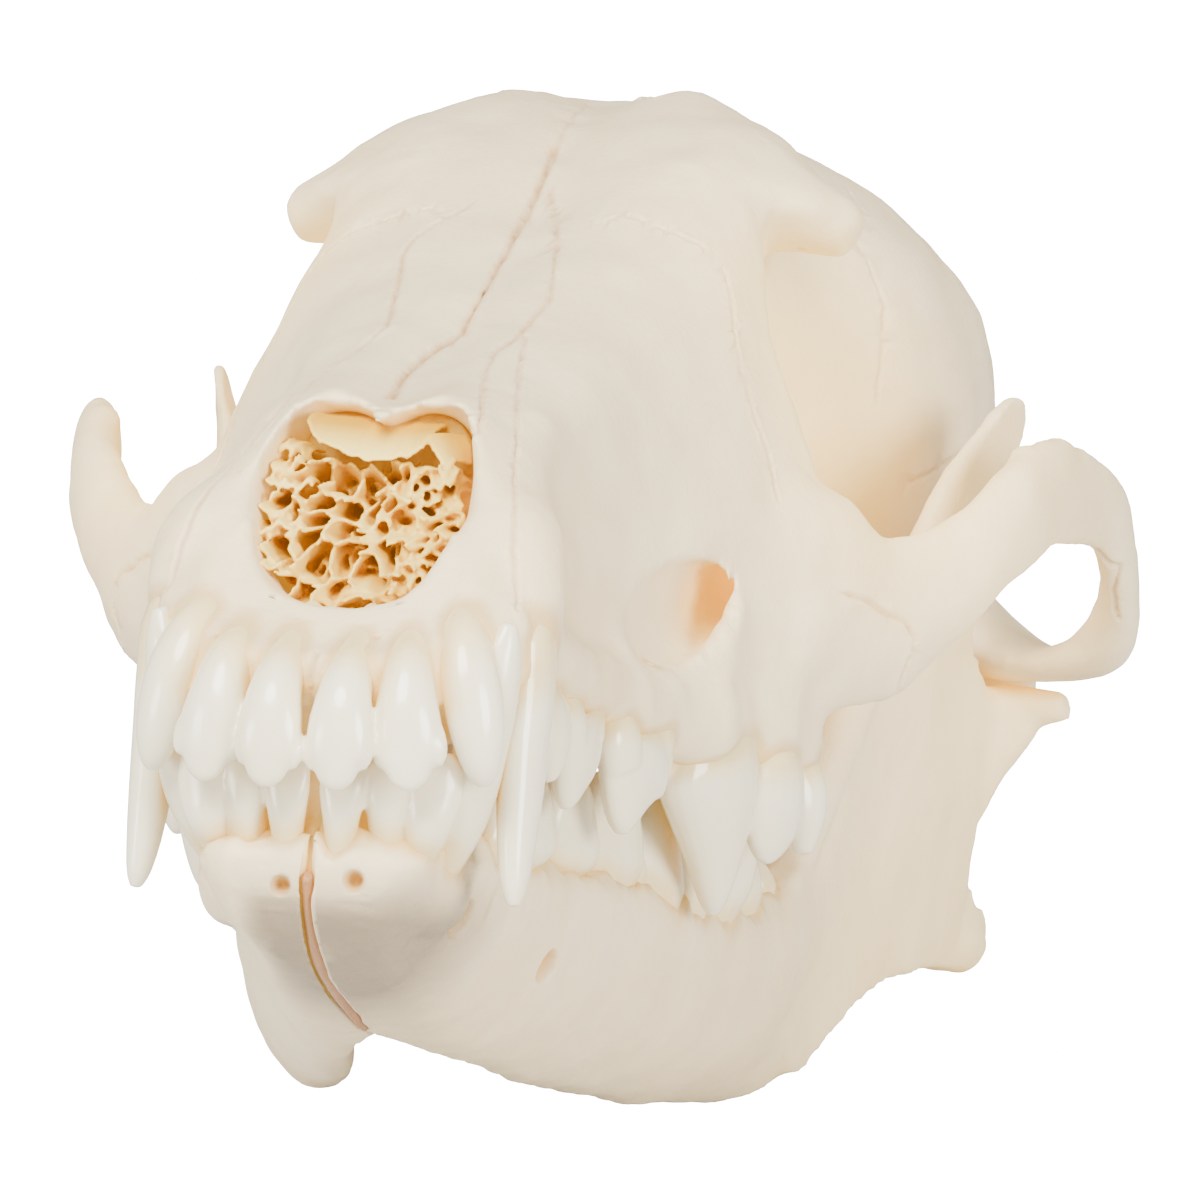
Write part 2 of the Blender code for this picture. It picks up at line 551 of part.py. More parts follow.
def cone(name, side, root, neck, tip, along, across, turn, shape):
    """One cusp of a tooth, from its buried root to its tip."""
    points = [Vector((side * p[0], p[1], p[2])) for p in (root, neck, tip)]
    axis = (points[2] - points[1]).normalized()
    row = Vector((side * math.cos(math.radians(turn)), math.sin(math.radians(turn)), 0))
    row = (row - axis * row.dot(axis)).normalized()
    out = axis.cross(row)
    stations = [(points[0], 0.7)] + [(points[1].lerp(points[2], t), size) for t, size in shape]
    rings = []
    for centre, size in stations:
        turns = [2 * math.pi * k / CONE_SIDES for k in range(CONE_SIDES)]
        rings.append(
            [centre + row * along * size * math.cos(a) + out * across * size * math.sin(a) for a in turns]
        )
    return loft(name, rings)


def teeth(table, side):
    made = []
    for name, cusps in table.items():
        shape = {"incisor": INCISOR_SHAPE, "canine": CANINE_SHAPE}.get(name.split("_")[0], CONE_SHAPE)
        made += [cone(name, side, *cusp, shape) for cusp in cusps]
    return made


def canine_notches():
    """Room in the edge of the upper jaw for the tips of the lower canines."""
    root, neck, tip, along, across, turn = LOWER_TEETH["canine"][0]
    reach = Vector(tip) + (Vector(tip) - Vector(neck)).normalized() * CANINE_ROOM
    room = (root, neck, reach, along + CANINE_ROOM, across + CANINE_ROOM, turn)
    return [cone("canine_notch", side, *room, NOTCH_SHAPE) for side in (1, -1)]


def box(name, low, high):
    bm = bmesh.new()
    size = [b - a for a, b in zip(low, high)]
    centre = [(a + b) / 2 for a, b in zip(low, high)]
    bmesh.ops.create_cube(bm, size=1, matrix=Matrix.Translation(centre) @ Matrix.Diagonal((*size, 1)))
    return new_object(name, bm)


def half_space(name, front, gap):
    """All that lies before, or behind, the leaning plane that parts face and braincase."""
    far = 300
    shift = -gap / 2 if front else gap / 2
    y0 = FACE_PLANE_POINT[1] + shift
    rings = []
    for z in (-far / 3, far / 3):
        y = y0 - FACE_PLANE_LEAN * z
        other = y - far if front else y + far
        corners = ((-far, y, z), (far, y, z), (far, other, z), (-far, other, z))
        rings.append([Vector(corner) for corner in corners])
    return loft(name, rings)


def part_cranium(bone):
    """Parts the cranium with thin cuts: face, braincase and the two zygomatic arches."""
    made = {}
    inner = ARCH_PLANE_X - JOINT_GAP / 2
    outer = ARCH_PLANE_X + JOINT_GAP / 2
    for name, side in (("zygomatic_arch_left", 1), ("zygomatic_arch_right", -1)):
        low, high = sorted((side * outer, side * 300.0))
        arch = copy_of(bone, name)
        region = box("region", (low, 40, -60), (high, 160, 60))
        made[name] = keep_largest(boolean(arch, [region], "INTERSECT"))
    boolean(bone, [box("region", (-inner, -60, -90), (inner, 260, 90))], "INTERSECT")
    for name, front in (("muzzle", True), ("braincase", False)):
        piece = copy_of(bone, name)
        made[name] = keep_largest(boolean(piece, [half_space("region", front, JOINT_GAP)], "INTERSECT"))
    bpy.data.objects.remove(bone, do_unlink=True)
    return made


def turbinate_block():
    """The folded bones that fill the back of the nose, as scrolls on a solid back."""
    outline = [Vector(point) for point in NASAL_OPENING]
    outline += [Vector((-x, z)) for x, z in NASAL_OPENING[-2:0:-1]]
    middle = Vector((0, 12.8))
    rings = []
    for y, size in ((19, 0.8), (22, 0.79), (NASAL_DEPTH - 0.7, 0.66)):
        ring = [middle + (point - middle) * size for point in outline]
        rings.append([Vector((p.x, y, p.y + (y - 12) * 0.06)) for p in smooth_closed(ring, 2)])
    back = loft("nasal_turbinates", rings)
    folds = []
    for side in (1, -1):
        for k, height in enumerate((8.2, 10.8, 13.4, 16.0)):
            inner = 1.0 + 0.3 * k
            front = (inner, 12.5 + k, height, 0.5, 0.5)
            middle_station = (inner + 1.6, 16, height, 0.55, 1.6)
            folds.append(bar("fold", (front, middle_station, (3.2, 21, height, 0.6, 1.9)), side, 6, 2))
    septum = ((0, 14, 9, 2.4, 0.45), (0, 18, 10.5, 4, 0.45), (0, 21, 11, 5, 0.5))
    folds.append(bar("septum", septum, 1, 6, 2))
    return keep_largest(boolean(back, folds, "UNION"))


def material(spec):
    name, colour, roughness = spec
    made = bpy.data.materials.get(name) or bpy.data.materials.new(name)
    made.use_nodes = True
    shader = made.node_tree.nodes["Principled BSDF"]
    shader.inputs["Base Color"].default_value = (*colour, 1)
    shader.inputs["Roughness"].default_value = roughness
    shader.inputs["Metallic"].default_value = 0
    return made


def rest_matrix():
    """Tilts the skull back on its lower jaw and levels the two halves of the jaw."""
    return Matrix.Rotation(math.radians(-REST_TILT), 4, "X") @ Matrix.Rotation(math.atan(SKEW), 4, "Y")


def to_rest(parts):
    """Tilts the parts back, puts them over the origin and cuts the flats that they rest on."""
    for part in parts:
        part.data.transform(rest_matrix())
    points = [v.co for part in parts for v in part.data.vertices]
    low = Vector(min(p[axis] for p in points) for axis in range(3))
    high = Vector(max(p[axis] for p in points) for axis in range(3))
    shift = -(low + high) / 2
    shift.z = -low.z - FLAT_DEPTH * MM
    for part in parts:
        part.data.transform(Matrix.Translation(shift))
        if part.name.startswith("mandible"):
            boolean(part, [box("floor", (-100, -120, -20), (100, 120, 0))], "DIFFERENCE")
    return shift


def main():
    clear_scene()
    model = bpy.data.collections.new("jackal_skull")
    bone = boolean(cranium_bone(), [skewed(notch) for notch in canine_notches()], "DIFFERENCE")
    made = part_cranium(bone)
    upper = [skewed(cusp) for side in (1, -1) for cusp in teeth(UPPER_TEETH, side)]
    boolean(made["muzzle"], upper, "UNION")
    for name, side in (("mandible_left", 1), ("mandible_right", -1)):
        made[name] = mandible_bone(name, side)
    made["nasal_turbinates"] = turbinate_block()
    model["rest_shift"] = to_rest(list(made.values()))
    bpy.context.scene.collection.children.link(model)
    for name, part in made.items():
        keep_largest(part)
        bpy.context.scene.collection.objects.unlink(part)
        model.objects.link(part)
        part.data.materials.clear()
        part.data.materials.append(material(TURBINATE if name == "nasal_turbinates" else BONE))
        part.data.shade_smooth()
        part.data.set_sharp_from_angle(angle=math.radians(50))


main()
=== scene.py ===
# %% [markdown]
# # A jackal's skull
#
# This notebook dresses the plain solids of a jackal's skull, so that it looks like a clean, dry
# museum specimen. The skull lies on its lower jaw, teeth together, and is seen from its front left.
#
# Bone has no flat faces. It is grown, so every form flows into the next one. The plan is to model
# each region as a loft, a swept bar or a rounded lump, to fuse them into one skin with a voxel
# remesh, and then to press the fine relief into that skin with soft brushes.

# %% Frame and tools
import math
import random

import bmesh
import bpy
import numpy as np
from mathutils import Matrix, Vector, noise
from mathutils.bvhtree import BVHTree
from mathutils.geometry import delaunay_2d_cdt
from mathutils.kdtree import KDTree


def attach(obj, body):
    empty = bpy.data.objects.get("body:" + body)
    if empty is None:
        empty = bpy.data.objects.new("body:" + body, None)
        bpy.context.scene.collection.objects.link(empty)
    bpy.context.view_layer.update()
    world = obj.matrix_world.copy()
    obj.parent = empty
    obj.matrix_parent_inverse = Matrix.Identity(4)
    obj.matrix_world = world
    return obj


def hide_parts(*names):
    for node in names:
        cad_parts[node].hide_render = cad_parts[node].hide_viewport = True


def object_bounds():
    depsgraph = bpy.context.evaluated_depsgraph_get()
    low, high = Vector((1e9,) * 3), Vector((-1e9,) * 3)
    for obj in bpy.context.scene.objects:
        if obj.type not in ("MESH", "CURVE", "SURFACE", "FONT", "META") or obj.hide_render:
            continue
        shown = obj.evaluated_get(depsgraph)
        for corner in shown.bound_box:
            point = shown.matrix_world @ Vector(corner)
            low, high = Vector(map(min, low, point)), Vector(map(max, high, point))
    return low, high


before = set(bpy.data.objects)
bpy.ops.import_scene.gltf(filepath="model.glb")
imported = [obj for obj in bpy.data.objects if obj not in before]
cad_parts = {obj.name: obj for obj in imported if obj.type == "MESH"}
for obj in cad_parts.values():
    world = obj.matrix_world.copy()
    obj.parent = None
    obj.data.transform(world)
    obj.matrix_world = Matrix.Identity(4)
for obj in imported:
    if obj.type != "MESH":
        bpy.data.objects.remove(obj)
solid_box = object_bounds()
MM = 0.001
print("solids loaded:", ", ".join(sorted(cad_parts)))

# %% [markdown]
# ## The skull's own frame
#
# Anatomists draw a skull level, on the plane of its palate, with the front teeth at zero. All the
# sizes below are millimetres in that frame: x to the animal's left, y towards the back of the head
# and z up. One matrix tilts the finished pieces back on the lower jaw, as the specimen lies, and
# moves them to where the solids are.

# %% From the skull's frame to the table
REST_TILT = 13.9
SKEW = 0.014
BROW_SKEW = 0.016
BROW_FROM = 30.0
REST_SHIFT = (0.50, -81.84, 49.38)

to_table = (
    Matrix.Translation(Vector(REST_SHIFT) * MM)
    @ Matrix.Rotation(math.radians(-REST_TILT), 4, "X")
    @ Matrix.Rotation(math.atan(SKEW), 4, "Y")
    @ Matrix.Scale(MM, 4)
)
to_skull = to_table.inverted()


# %% [markdown]
# ## Camera
#
# The specimen was photographed with a long lens from about three quarters of a metre away. A long
# lens hardly widens what is near, so the teeth don't look larger than the brow. The camera is placed
# by where its axis crosses the skull, its bearing and its height, because these are easy to picture.

# %% Camera
CAMERA_AIM = Vector((0.00574, 0.0, 0.03896))
CAMERA_DISTANCE = 0.7583
CAMERA_TURN = (78.321, -0.426, 10.668)
CAMERA_LENS = 288.86

lens = bpy.data.cameras.new("studio_camera")
lens.lens = CAMERA_LENS
lens.sensor_width = 36
lens.clip_start = 0.05
camera = bpy.data.objects.new("studio_camera", lens)
bpy.context.scene.collection.objects.link(camera)
camera.rotation_euler = [math.radians(angle) for angle in CAMERA_TURN]
camera.location = CAMERA_AIM + camera.rotation_euler.to_matrix() @ Vector((0, 0, CAMERA_DISTANCE))
bpy.context.scene.camera = camera
bpy.context.view_layer.update()
print("camera stands at", [round(c, 4) for c in camera.location])

# %% [markdown]
# ## Lofts, bars and lumps
#
# Three helpers make every rough form. A loft bridges closed loops of points, as a boat's skin goes
# over its frames. A bar is a loft whose loops are ovals along a curved centre line. A lump is a
# sphere stretched to three half sizes. `bmesh.ops.bridge_loops` makes the faces between two loops,
# so only the loops have to be described.


# %% Smooth curves through a few points
def between(a, b, c, d, t):
    """A point on the smooth curve through b and c, with a and d beyond them."""
    return 0.5 * (2 * b + (c - a) * t + (2 * a - 5 * b + 4 * c - d) * t**2 + (3 * b - a - 3 * c + d) * t**3)


def smooth_open(points, steps):
    ends = [points[0], *points, points[-1]]
    spans = [ends[i : i + 4] for i in range(len(points) - 1)]
    return [between(*span, step / steps) for span in spans for step in range(steps)] + [points[-1]]


def smooth_closed(points, steps):
    count = len(points)
    return [
        between(points[i - 1], points[i], points[(i + 1) % count], points[(i + 2) % count], step / steps)
        for i in range(count)
        for step in range(steps)
    ]


# %% Lofts, bars and lumps
def add_loft(bm, rings):
    """Bridges closed loops of points into one closed form."""
    loops = []
    for ring in rings:
        verts = [bm.verts.new(point) for point in ring]
        loops.append([bm.edges.new((verts[i - 1], verts[i])) for i in range(len(verts))])
    faces = []
    for near, far in zip(loops, loops[1:]):
        faces += bmesh.ops.bridge_loops(bm, edges=near + far)["faces"]
    for end in (loops[0], loops[-1]):
        faces += bmesh.ops.contextual_create(bm, geom=end)["faces"]
    bmesh.ops.recalc_face_normals(bm, faces=faces)


def add_bar(bm, nodes, side=1, sides=14, steps=4, upright=(0, 0, 1)):
    """Sweeps an oval along centre points that each state x, y, z, half height and half thickness."""
    stations = smooth_open([Vector((side * n[0], *n[1:])) for n in nodes], steps)
    centres = [Vector(station[:3]) for station in stations]
    rings = []
    for i, station in enumerate(stations):
        along = (centres[min(i + 1, len(centres) - 1)] - centres[max(i - 1, 0)]).normalized()
        across = along.cross(Vector(upright)).normalized()
        up = across.cross(along)
        turns = [2 * math.pi * k / sides for k in range(sides)]
        rings.append(
            [centres[i] + up * station[3] * math.sin(a) + across * station[4] * math.cos(a) for a in turns]
        )
    add_loft(bm, rings)


def add_lump(bm, shape, side=1):
    """A sphere stretched to its half sizes and turned about the x axis."""
    centre, half_sizes, turn = shape
    place = (
        Matrix.Translation((side * centre[0], centre[1], centre[2]))
        @ Matrix.Rotation(math.radians(turn), 4, "X")
        @ Matrix.Diagonal((*half_sizes, 1))
    )
    bmesh.ops.create_uvsphere(bm, u_segments=32, v_segments=18, radius=1, matrix=place)


# %% [markdown]
# ## Growing and thinning a skin
#
# The Remesh modifier in voxel mode turns overlapping shells into one closed skin, and a few rounds
# of Smooth round its joints like bone. Decimate then spends the triangles where the form bends most.
# Each step's modifier is applied at once, so that the next step can edit plain vertices.


# %% Fusing, cutting and thinning
def as_object(name, bm):
    mesh = bpy.data.meshes.new(name)
    bm.to_mesh(mesh)
    bm.free()
    made = bpy.data.objects.new(name, mesh)
    bpy.context.scene.collection.objects.link(made)
    return made


def formed(name, add, *details):
    """An object made by one of the functions that add a form to a bmesh."""
    bm = bmesh.new()
    add(bm, *details)
    return as_object(name, bm)


def apply_modifiers(piece):
    graph = bpy.context.evaluated_depsgraph_get()
    mesh = bpy.data.meshes.new_from_object(piece.evaluated_get(graph))
    piece.modifiers.clear()
    piece.data = mesh
    return piece


def fuse(piece, voxel, smoothing):
    remesh = piece.modifiers.new("fuse", "REMESH")
    remesh.mode = "VOXEL"
    remesh.voxel_size = voxel
    smooth = piece.modifiers.new("smooth", "SMOOTH")
    smooth.factor = 0.5
    smooth.iterations = smoothing
    return apply_modifiers(piece)


def cut(piece, cutter, operation="DIFFERENCE"):
    step = piece.modifiers.new("cut", "BOOLEAN")
    step.object = cutter
    step.operation = operation
    step.solver = "MANIFOLD"
    apply_modifiers(piece)
    bpy.data.objects.remove(cutter, do_unlink=True)
    return piece


def thin_out(piece, triangles):
    piece.data.calc_loop_triangles()
    decimate = piece.modifiers.new("thin_out", "DECIMATE")
    decimate.ratio = min(1.0, triangles / len(piece.data.loop_triangles))
    return apply_modifiers(piece)


# %% [markdown]
# ## The cranium's shell
#
# Face and braincase are one loft. Each row below is half of a section, from the midline on top round
# to the midline below, with its y at the bottom and at the top, because the front sections lean back
# over the nose. The forehead is widest at the orbits, the waist lies behind them, and the braincase
# swells again to the ears.

# %% Sections of the cranium
CRANIUM_SECTIONS = (
    (0.6, 13.5, (0, 17.6), (4.5, 17.8), (7.8, 15.8), (9.2, 11), (10, 5.5), (9.6, 0.2), (6, -1.6), (0, -1.6)),
    (2.6, 16.5, (0, 19.6), (4.6, 20.4), (8.8, 17.6), (10.8, 11.8), (12, 6), (11.6, 0), (8, -1.8), (0, -1.6)),
    (10, 22, (0, 21.0), (5.4, 21.9), (9.8, 18.8), (12.4, 12.5), (14.8, 6.2), (14.6, 1), (10, -1), (0, -0.5)),
    (20, 29, (0, 22.9), (6, 23.4), (10.2, 20.8), (12.2, 14), (13, 7), (13, 0.5), (9, -0.3), (0, 0.8)),
    (32, 37, (0, 25.4), (6, 25.8), (10.6, 23.2), (13.2, 15.5), (14.2, 8), (14.6, 0.3), (11, -0.3), (0, 1.5)),
    (44, 46, (0, 28.4), (6.2, 28.9), (11.2, 26.6), (14.8, 18), (16.6, 9), (17.6, -1.2), (14, -1.2), (0, 2)),
    (54, 55, (0, 32.5), (6.5, 33), (12.4, 30.4), (17.2, 22), (20.2, 11), (21.6, -2), (18, -2), (0, 2.4)),
    (63, 64, (0, 36.9), (7.5, 37.2), (13.8, 34.6), (19, 27.4), (23.4, 14), (24.4, -2.5), (20, -3), (0, 2.6)),
    (71, 72, (0, 41.2), (8.5, 41.6), (15.4, 38.8), (19, 31), (23, 18), (23.6, 2), (17, -3), (0, 2.6)),
    (79, 79, (0, 45), (9.5, 46), (16.2, 43.4), (16.4, 35), (14, 22), (12, 9), (8, 1), (0, 2.4)),
    (89, 89, (0, 49), (10, 50), (17.8, 46.4), (14.4, 36), (12, 22), (10.5, 9), (7.5, 2), (0, 3.6)),
    (98, 98, (0, 50.6), (8, 51), (15, 46.8), (15, 37), (15, 24), (12.5, 11), (8, 5), (0, 5)),
    (108, 108, (0, 51), (6, 50.4), (14, 46.7), (20.5, 38.5), (22, 26), (18, 13), (10, 7), (0, 6)),
    (119, 119, (0, 51.6), (6.5, 50.4), (16.8, 46.5), (25, 38), (26.8, 25), (22, 12), (12, 7), (0, 6.5)),
    (130, 130, (0, 51.8), (6.5, 50.2), (18, 45.8), (26.6, 37), (28, 25.5), (24, 13), (13, 8), (0, 7)),
    (140, 140, (0, 51.6), (6, 49.6), (16.5, 44.6), (25.2, 35.6), (27.4, 25), (24.5, 14), (14, 8), (0, 7)),
    (149, 149, (0, 50.2), (5, 48.2), (13.8, 42.5), (21.5, 34), (24.5, 24), (22.5, 14), (13, 8), (0, 7.5)),
    (155, 155, (0, 47.5), (4, 45), (10, 39), (15.5, 32), (18, 24), (16, 15), (9, 10), (0, 9)),
)


def section_ring(y_low, y_high, half):
    """One closed section: its half outline, mirrored, leaning from y_low to y_high."""
    outline = list(half) + [(-x, z) for x, z in half[-2:0:-1]]
    low = min(z for _, z in half)
    high = max(z for _, z in half)
    return [Vector((x, y_low + (y_high - y_low) * (z - low) / (high - low), z)) for x, z in outline]


def add_shell(bm):
    rings = [section_ring(row[0], row[1], row[2:]) for row in CRANIUM_SECTIONS]
    columns = [smooth_open(list(column), 3) for column in zip(*rings)]
    add_loft(bm, [smooth_closed(list(ring), 4) for ring in zip(*columns)])


# %% [markdown]
# ## Arches, processes and crests
#
# The cheek arch springs from the side of the face, bows out round the jaw muscle and comes home
# above the jaw joint. It is one swept bar, which also thickens at both roots. Crests and processes
# are shorter bars. Rounded parts, such as the ear's bulla and the knuckles of the neck joint, are
# lumps.

# %% Bars and lumps of the cranium
CHEEK_SHIFT = 0.7
CHEEK_SHIFT_SPAN = ((66, 16), (122, 8))
ZYGOMATIC_ARCH = (
    (21, 62, 11, 8, 3),
    (24.4, 67.5, 9.8, 8.8, 3.6),
    (28.6, 74, 9.0, 7.0, 3.0),
    (33.0, 81, 12.3, 4.6, 2.5),
    (36.9, 88, 17.0, 4.3, 2.2),
    (38.9, 95.5, 20.2, 4.6, 1.9),
    (40.8, 103, 20.1, 3.8, 1.7),
    (42.3, 109, 18.5, 3.2, 1.6),
    (42.6, 115, 14.1, 2.9, 1.7),
    (40.9, 119.4, 10.0, 2.3, 2.5),
    (37.6, 122.8, 8.1, 1.7, 3.8),
    (34, 125.5, 8.0, 1.7, 4.8),
    (30, 127.5, 9.4, 2.8, 5.6),
    (25.5, 128.6, 11.8, 4.3, 5.8),
)
FRONTAL_PROCESS = ((38.0, 92, 18, 2.4, 1.6), (37.8, 91.6, 21.4, 1.9, 1.4), (36.8, 91, 23.4, 1.1, 1.0))
ALVEOLAR_BAR = (
    (12.2, 14, 4.4, 2.2, 1.8),
    (12.9, 19, 3.0, 2.6, 2.2),
    (13.4, 26, 2.2, 2.9, 2.5),
    (14.5, 34, 1.2, 3.0, 2.7),
    (16.5, 44, 0.0, 3.4, 2.8),
    (20.2, 57, -0.6, 3.2, 3.0),
    (22.4, 67, -1.2, 3.2, 3.2),
    (21, 76, -1.6, 3.0, 3.2),
    (18.6, 81.5, -0.6, 2.2, 2.6),
)
CANINE_RIDGE = ((12.2, 14.2, 8.4), (2.8, 5.2, 6.0), 25)
PALATE_LEDGE = (
    (0, 6.6, -1.0, 3.7, 1.8),
    (4, 7.2, -1.0, 3.7, 1.9),
    (7.6, 9.4, -0.6, 3.6, 2.0),
    (9.6, 13.4, 0.6, 3.0, 2.0),
)
INCISOR_RIM = (
    (0, 1.2, 0.8, 1.9, 1.4),
    (2.5, 1.0, 0.9, 1.9, 1.5),
    (6.4, 2.2, 1.5, 1.9, 1.6),
    (9.9, 4.9, 3.4, 1.9, 1.6),
    (12.4, 8.6, 5.2, 1.9, 1.5),
)
POSTORBITAL_PROCESS = (
    (8, 84, 43.0, 3.9, 10.5),
    (14.5, 86.2, 42.0, 3.6, 8.8),
    (19.4, 87.2, 40.4, 3.0, 5.8),
    (22.9, 87.4, 38.9, 2.0, 2.8),
)
PTERYGOID_PLATE = (
    (8.8, 78, -0.2, 3.2, 1.1),
    (7.8, 90, 0.6, 4.2, 0.9),
    (7.4, 101, 0.4, 4.6, 0.8),
    (7.2, 106, -2.4, 1.6, 0.7),
)
SAGITTAL_CREST = (
    (0, 104, 49.4, 1.6, 0.9),
    (0, 122, 51.4, 1.9, 0.8),
    (0, 140, 52.6, 2.2, 0.8),
    (0, 153, 52, 2.6, 0.9),
    (0, 160, 48.6, 2.4, 1.2),
)
NUCHAL_CREST = (
    (0, 158.6, 48.0, 2.6, 1.8),
    (8, 157.2, 45.2, 2.8, 1.7),
    (15.4, 154.4, 38.6, 2.4, 1.6),
    (20.6, 151.4, 30, 1.7, 1.6),
    (23.6, 147.6, 20.5, 1.8, 2.2),
    (23.4, 146, 13, 1.6, 2.4),
)
OCCIPITAL_RIDGE = ((0, 157.6, 48, 3.2, 4.2), (0, 157.4, 42.6, 3.2, 3.2), (0, 157, 36, 2.4, 1.6))
TEMPORAL_LINE = (
    (19.4, 88.5, 42.6, 1.2, 1.3),
    (16.2, 93.5, 46.0, 1.0, 1.1),
    (13.6, 98, 47.2, 0.9, 1.0),
    (8.6, 105, 49.2, 0.8, 0.9),
    (1.5, 114, 50.6, 0.8, 0.8),
)
PAROCCIPITAL_PROCESS = ((17.6, 146, 10, 3.6, 3.4), (17.8, 148.4, 3, 2.6, 1.8), (17.4, 149.4, -3.6, 1.0, 0.9))
BULLA = ((14.4, 136.5, 5), (7.2, 11, 8), -6)
OCCIPITAL_CONDYLE = ((7.6, 153.5, 11), (4.4, 6.2, 5.2), 25)
MASTOID = ((22.6, 146, 14), (4, 4.5, 6.5), 0)
OCCIPUT = ((0, 151, 31), (16.5, 8.5, 18.5), 0)
RETROARTICULAR = ((29, 132.2, 6.2), (4.6, 1.9, 4.6), 0)
EAR_TUBE = ((22.4, 137, 10), (4.5, 4.0, 3.6), 0)


def shifted(nodes, side):
    """The nodes of a cheek's bar, moved to the animal's right between the muzzle and the jaw joint."""
    (shift_start, grows), (shift_end, fades) = CHEEK_SHIFT_SPAN
    made = []
    for x, y, *rest in nodes:
        share = min(1, max(0, (y - shift_start) / grows)) * min(1, max(0, (shift_end - y) / fades))
        made.append((x - side * CHEEK_SHIFT * share, y, *rest))
    return made


def add_cranium_parts(bm):
    add_shell(bm)
    add_bar(bm, SAGITTAL_CREST)
    add_bar(bm, OCCIPITAL_RIDGE, upright=(0, 1, 0))
    add_lump(bm, OCCIPUT)
    for side in (1, -1):
        add_bar(bm, shifted(ZYGOMATIC_ARCH, side), side, sides=20, steps=6)
        add_bar(bm, shifted(FRONTAL_PROCESS, side), side, upright=(0, 1, 0))
        add_bar(bm, ALVEOLAR_BAR, side)
        add_bar(bm, INCISOR_RIM, side)
        add_bar(bm, PALATE_LEDGE, side)
        add_lump(bm, CANINE_RIDGE, side)
        add_bar(bm, POSTORBITAL_PROCESS, side, sides=20)
        add_bar(bm, PTERYGOID_PLATE, side)
        add_bar(bm, NUCHAL_CREST, side, upright=(0, 1, 0))
        add_bar(bm, TEMPORAL_LINE, side)
        add_bar(bm, PAROCCIPITAL_PROCESS, side, upright=(1, 0, 0))
        for shape in (BULLA, OCCIPITAL_CONDYLE, MASTOID, RETROARTICULAR, EAR_TUBE):
            add_lump(bm, shape, side)


# %% [markdown]
# ## Hollows
#
# The nose opens in a heart shape, with a notch where the two nasal bones meet. Orbits, ear openings,
# the canal below each eye, the throat's opening and the hole for the spinal cord are cut with a
# Boolean, after the shell is one skin. The solver named MANIFOLD is quick on such dense skins, and
# both skin and cutter are closed, as it asks.

# %% Cutters
ORBIT = ((24.9, 83.2, 26.2), (12.2, 14.6, 11.0), 0)
EAR_HOLE = ((26.4, 137, 9.6), (3.8, 2.1, 2.0), 0)
FORAMEN_MAGNUM = ((0, 157, 15.5), (6.4, 15, 5.4), 0)
CHOANA = ((0, 92, 1.2), (5.6, 14, 4.4), -4)
INFRAORBITAL_CANAL = (
    (15.4, 39.5, 5.2, 2.2, 1.2),
    (16.9, 45, 7.0, 3.7, 2.2),
    (18.1, 50.5, 8.2, 3.7, 2.1),
    (18.8, 58, 9.6, 2.6, 1.7),
    (20.0, 66, 12, 2.4, 1.6),
    (21.0, 75, 15, 2.4, 2.0),
)
NASAL_OPENING = (
    (0, 18.7),
    (1.1, 19.7),
    (3.4, 20.6),
    (5.8, 19.8),
    (7.2, 17),
    (7.6, 13.6),
    (7.1, 10),
    (5.4, 7),
    (2.8, 5.6),
    (0, 5.3),
)
NASAL_MIDDLE = Vector((0, 12.8))
# each station's depth, and its size beside the opening's
NASAL_STATIONS = (
    *((-8, 0.98), (4, 0.98), (12, 1.0), (17.6, 1.05), (19.4, 1.02)),
    *((21.2, 0.9), (24, 0.86), (28, 0.85), (36, 0.72)),
)
NASAL_RISE = 0.06
NASAL_RISE_FROM = 12

nasal_outline = [Vector(point) for point in NASAL_OPENING]
nasal_outline += [Vector((-x, z)) for x, z in NASAL_OPENING[-2:0:-1]]


def nasal_shape(size):
    """The opening's outline, resized about its middle."""
    return [NASAL_MIDDLE + (point - NASAL_MIDDLE) * size for point in nasal_outline]


def nasal_lift(y):
    """The nose's hollow rises a little on its way back."""
    return max(0.0, y - NASAL_RISE_FROM) * NASAL_RISE


def nasal_ring(y, size):
    return [Vector((p.x, y, p.y + nasal_lift(y))) for p in smooth_closed(nasal_shape(size), 3)]


def cutters():
    made = [formed("cutter", add_loft, [nasal_ring(y, size) for y, size in NASAL_STATIONS])]
    made += [formed("cutter", add_lump, shape) for shape in (FORAMEN_MAGNUM, CHOANA)]
    for side in (1, -1):
        made += [formed("cutter", add_lump, shape, side) for shape in (ORBIT, EAR_HOLE)]
        made.append(formed("cutter", add_bar, INFRAORBITAL_CANAL, side))
    return made


# %% The cranium as one skin
FIRST_VOXEL = 0.55
CUT_VOXEL = 0.5
CRANIUM_TRIANGLES = 130000

cranium = fuse(formed("cranium", add_cranium_parts), FIRST_VOXEL, 8)
for cutter in cutters():
    cut(cranium, cutter)
fuse(cranium, CUT_VOXEL, 2)
thin_out(cranium, CRANIUM_TRIANGLES)
print("cranium:", len(cranium.data.polygons), "faces")

# %% [markdown]
# ## Relief, pressed into the skin
#
# Sutures, ridges and hollows are strokes of a soft brush. A stroke is a line on the bone. Vertices near
# it move along their normals, by the stroke's height, and less the farther they are from the line.
# Fine strokes need fine triangles, so the mesh is subdivided near them first, and only there.
#
# Lines are easiest to read off the photograph. A ray from the camera through each pixel, which is
# stated in the photograph's 1200 by 1200 frame, finds the place on the bone.

# %% Places on the bone from the photograph
PHOTO_SIZE = 1200
skull_eye = to_skull @ camera.location
skull_turn = (to_skull.to_3x3() @ camera.rotation_euler.to_matrix()).normalized()


def photo_direction(px, py):
    focal = CAMERA_LENS / lens.sensor_width * PHOTO_SIZE
    return (skull_turn @ Vector((px - PHOTO_SIZE / 2, PHOTO_SIZE / 2 - py, -focal))).normalized()


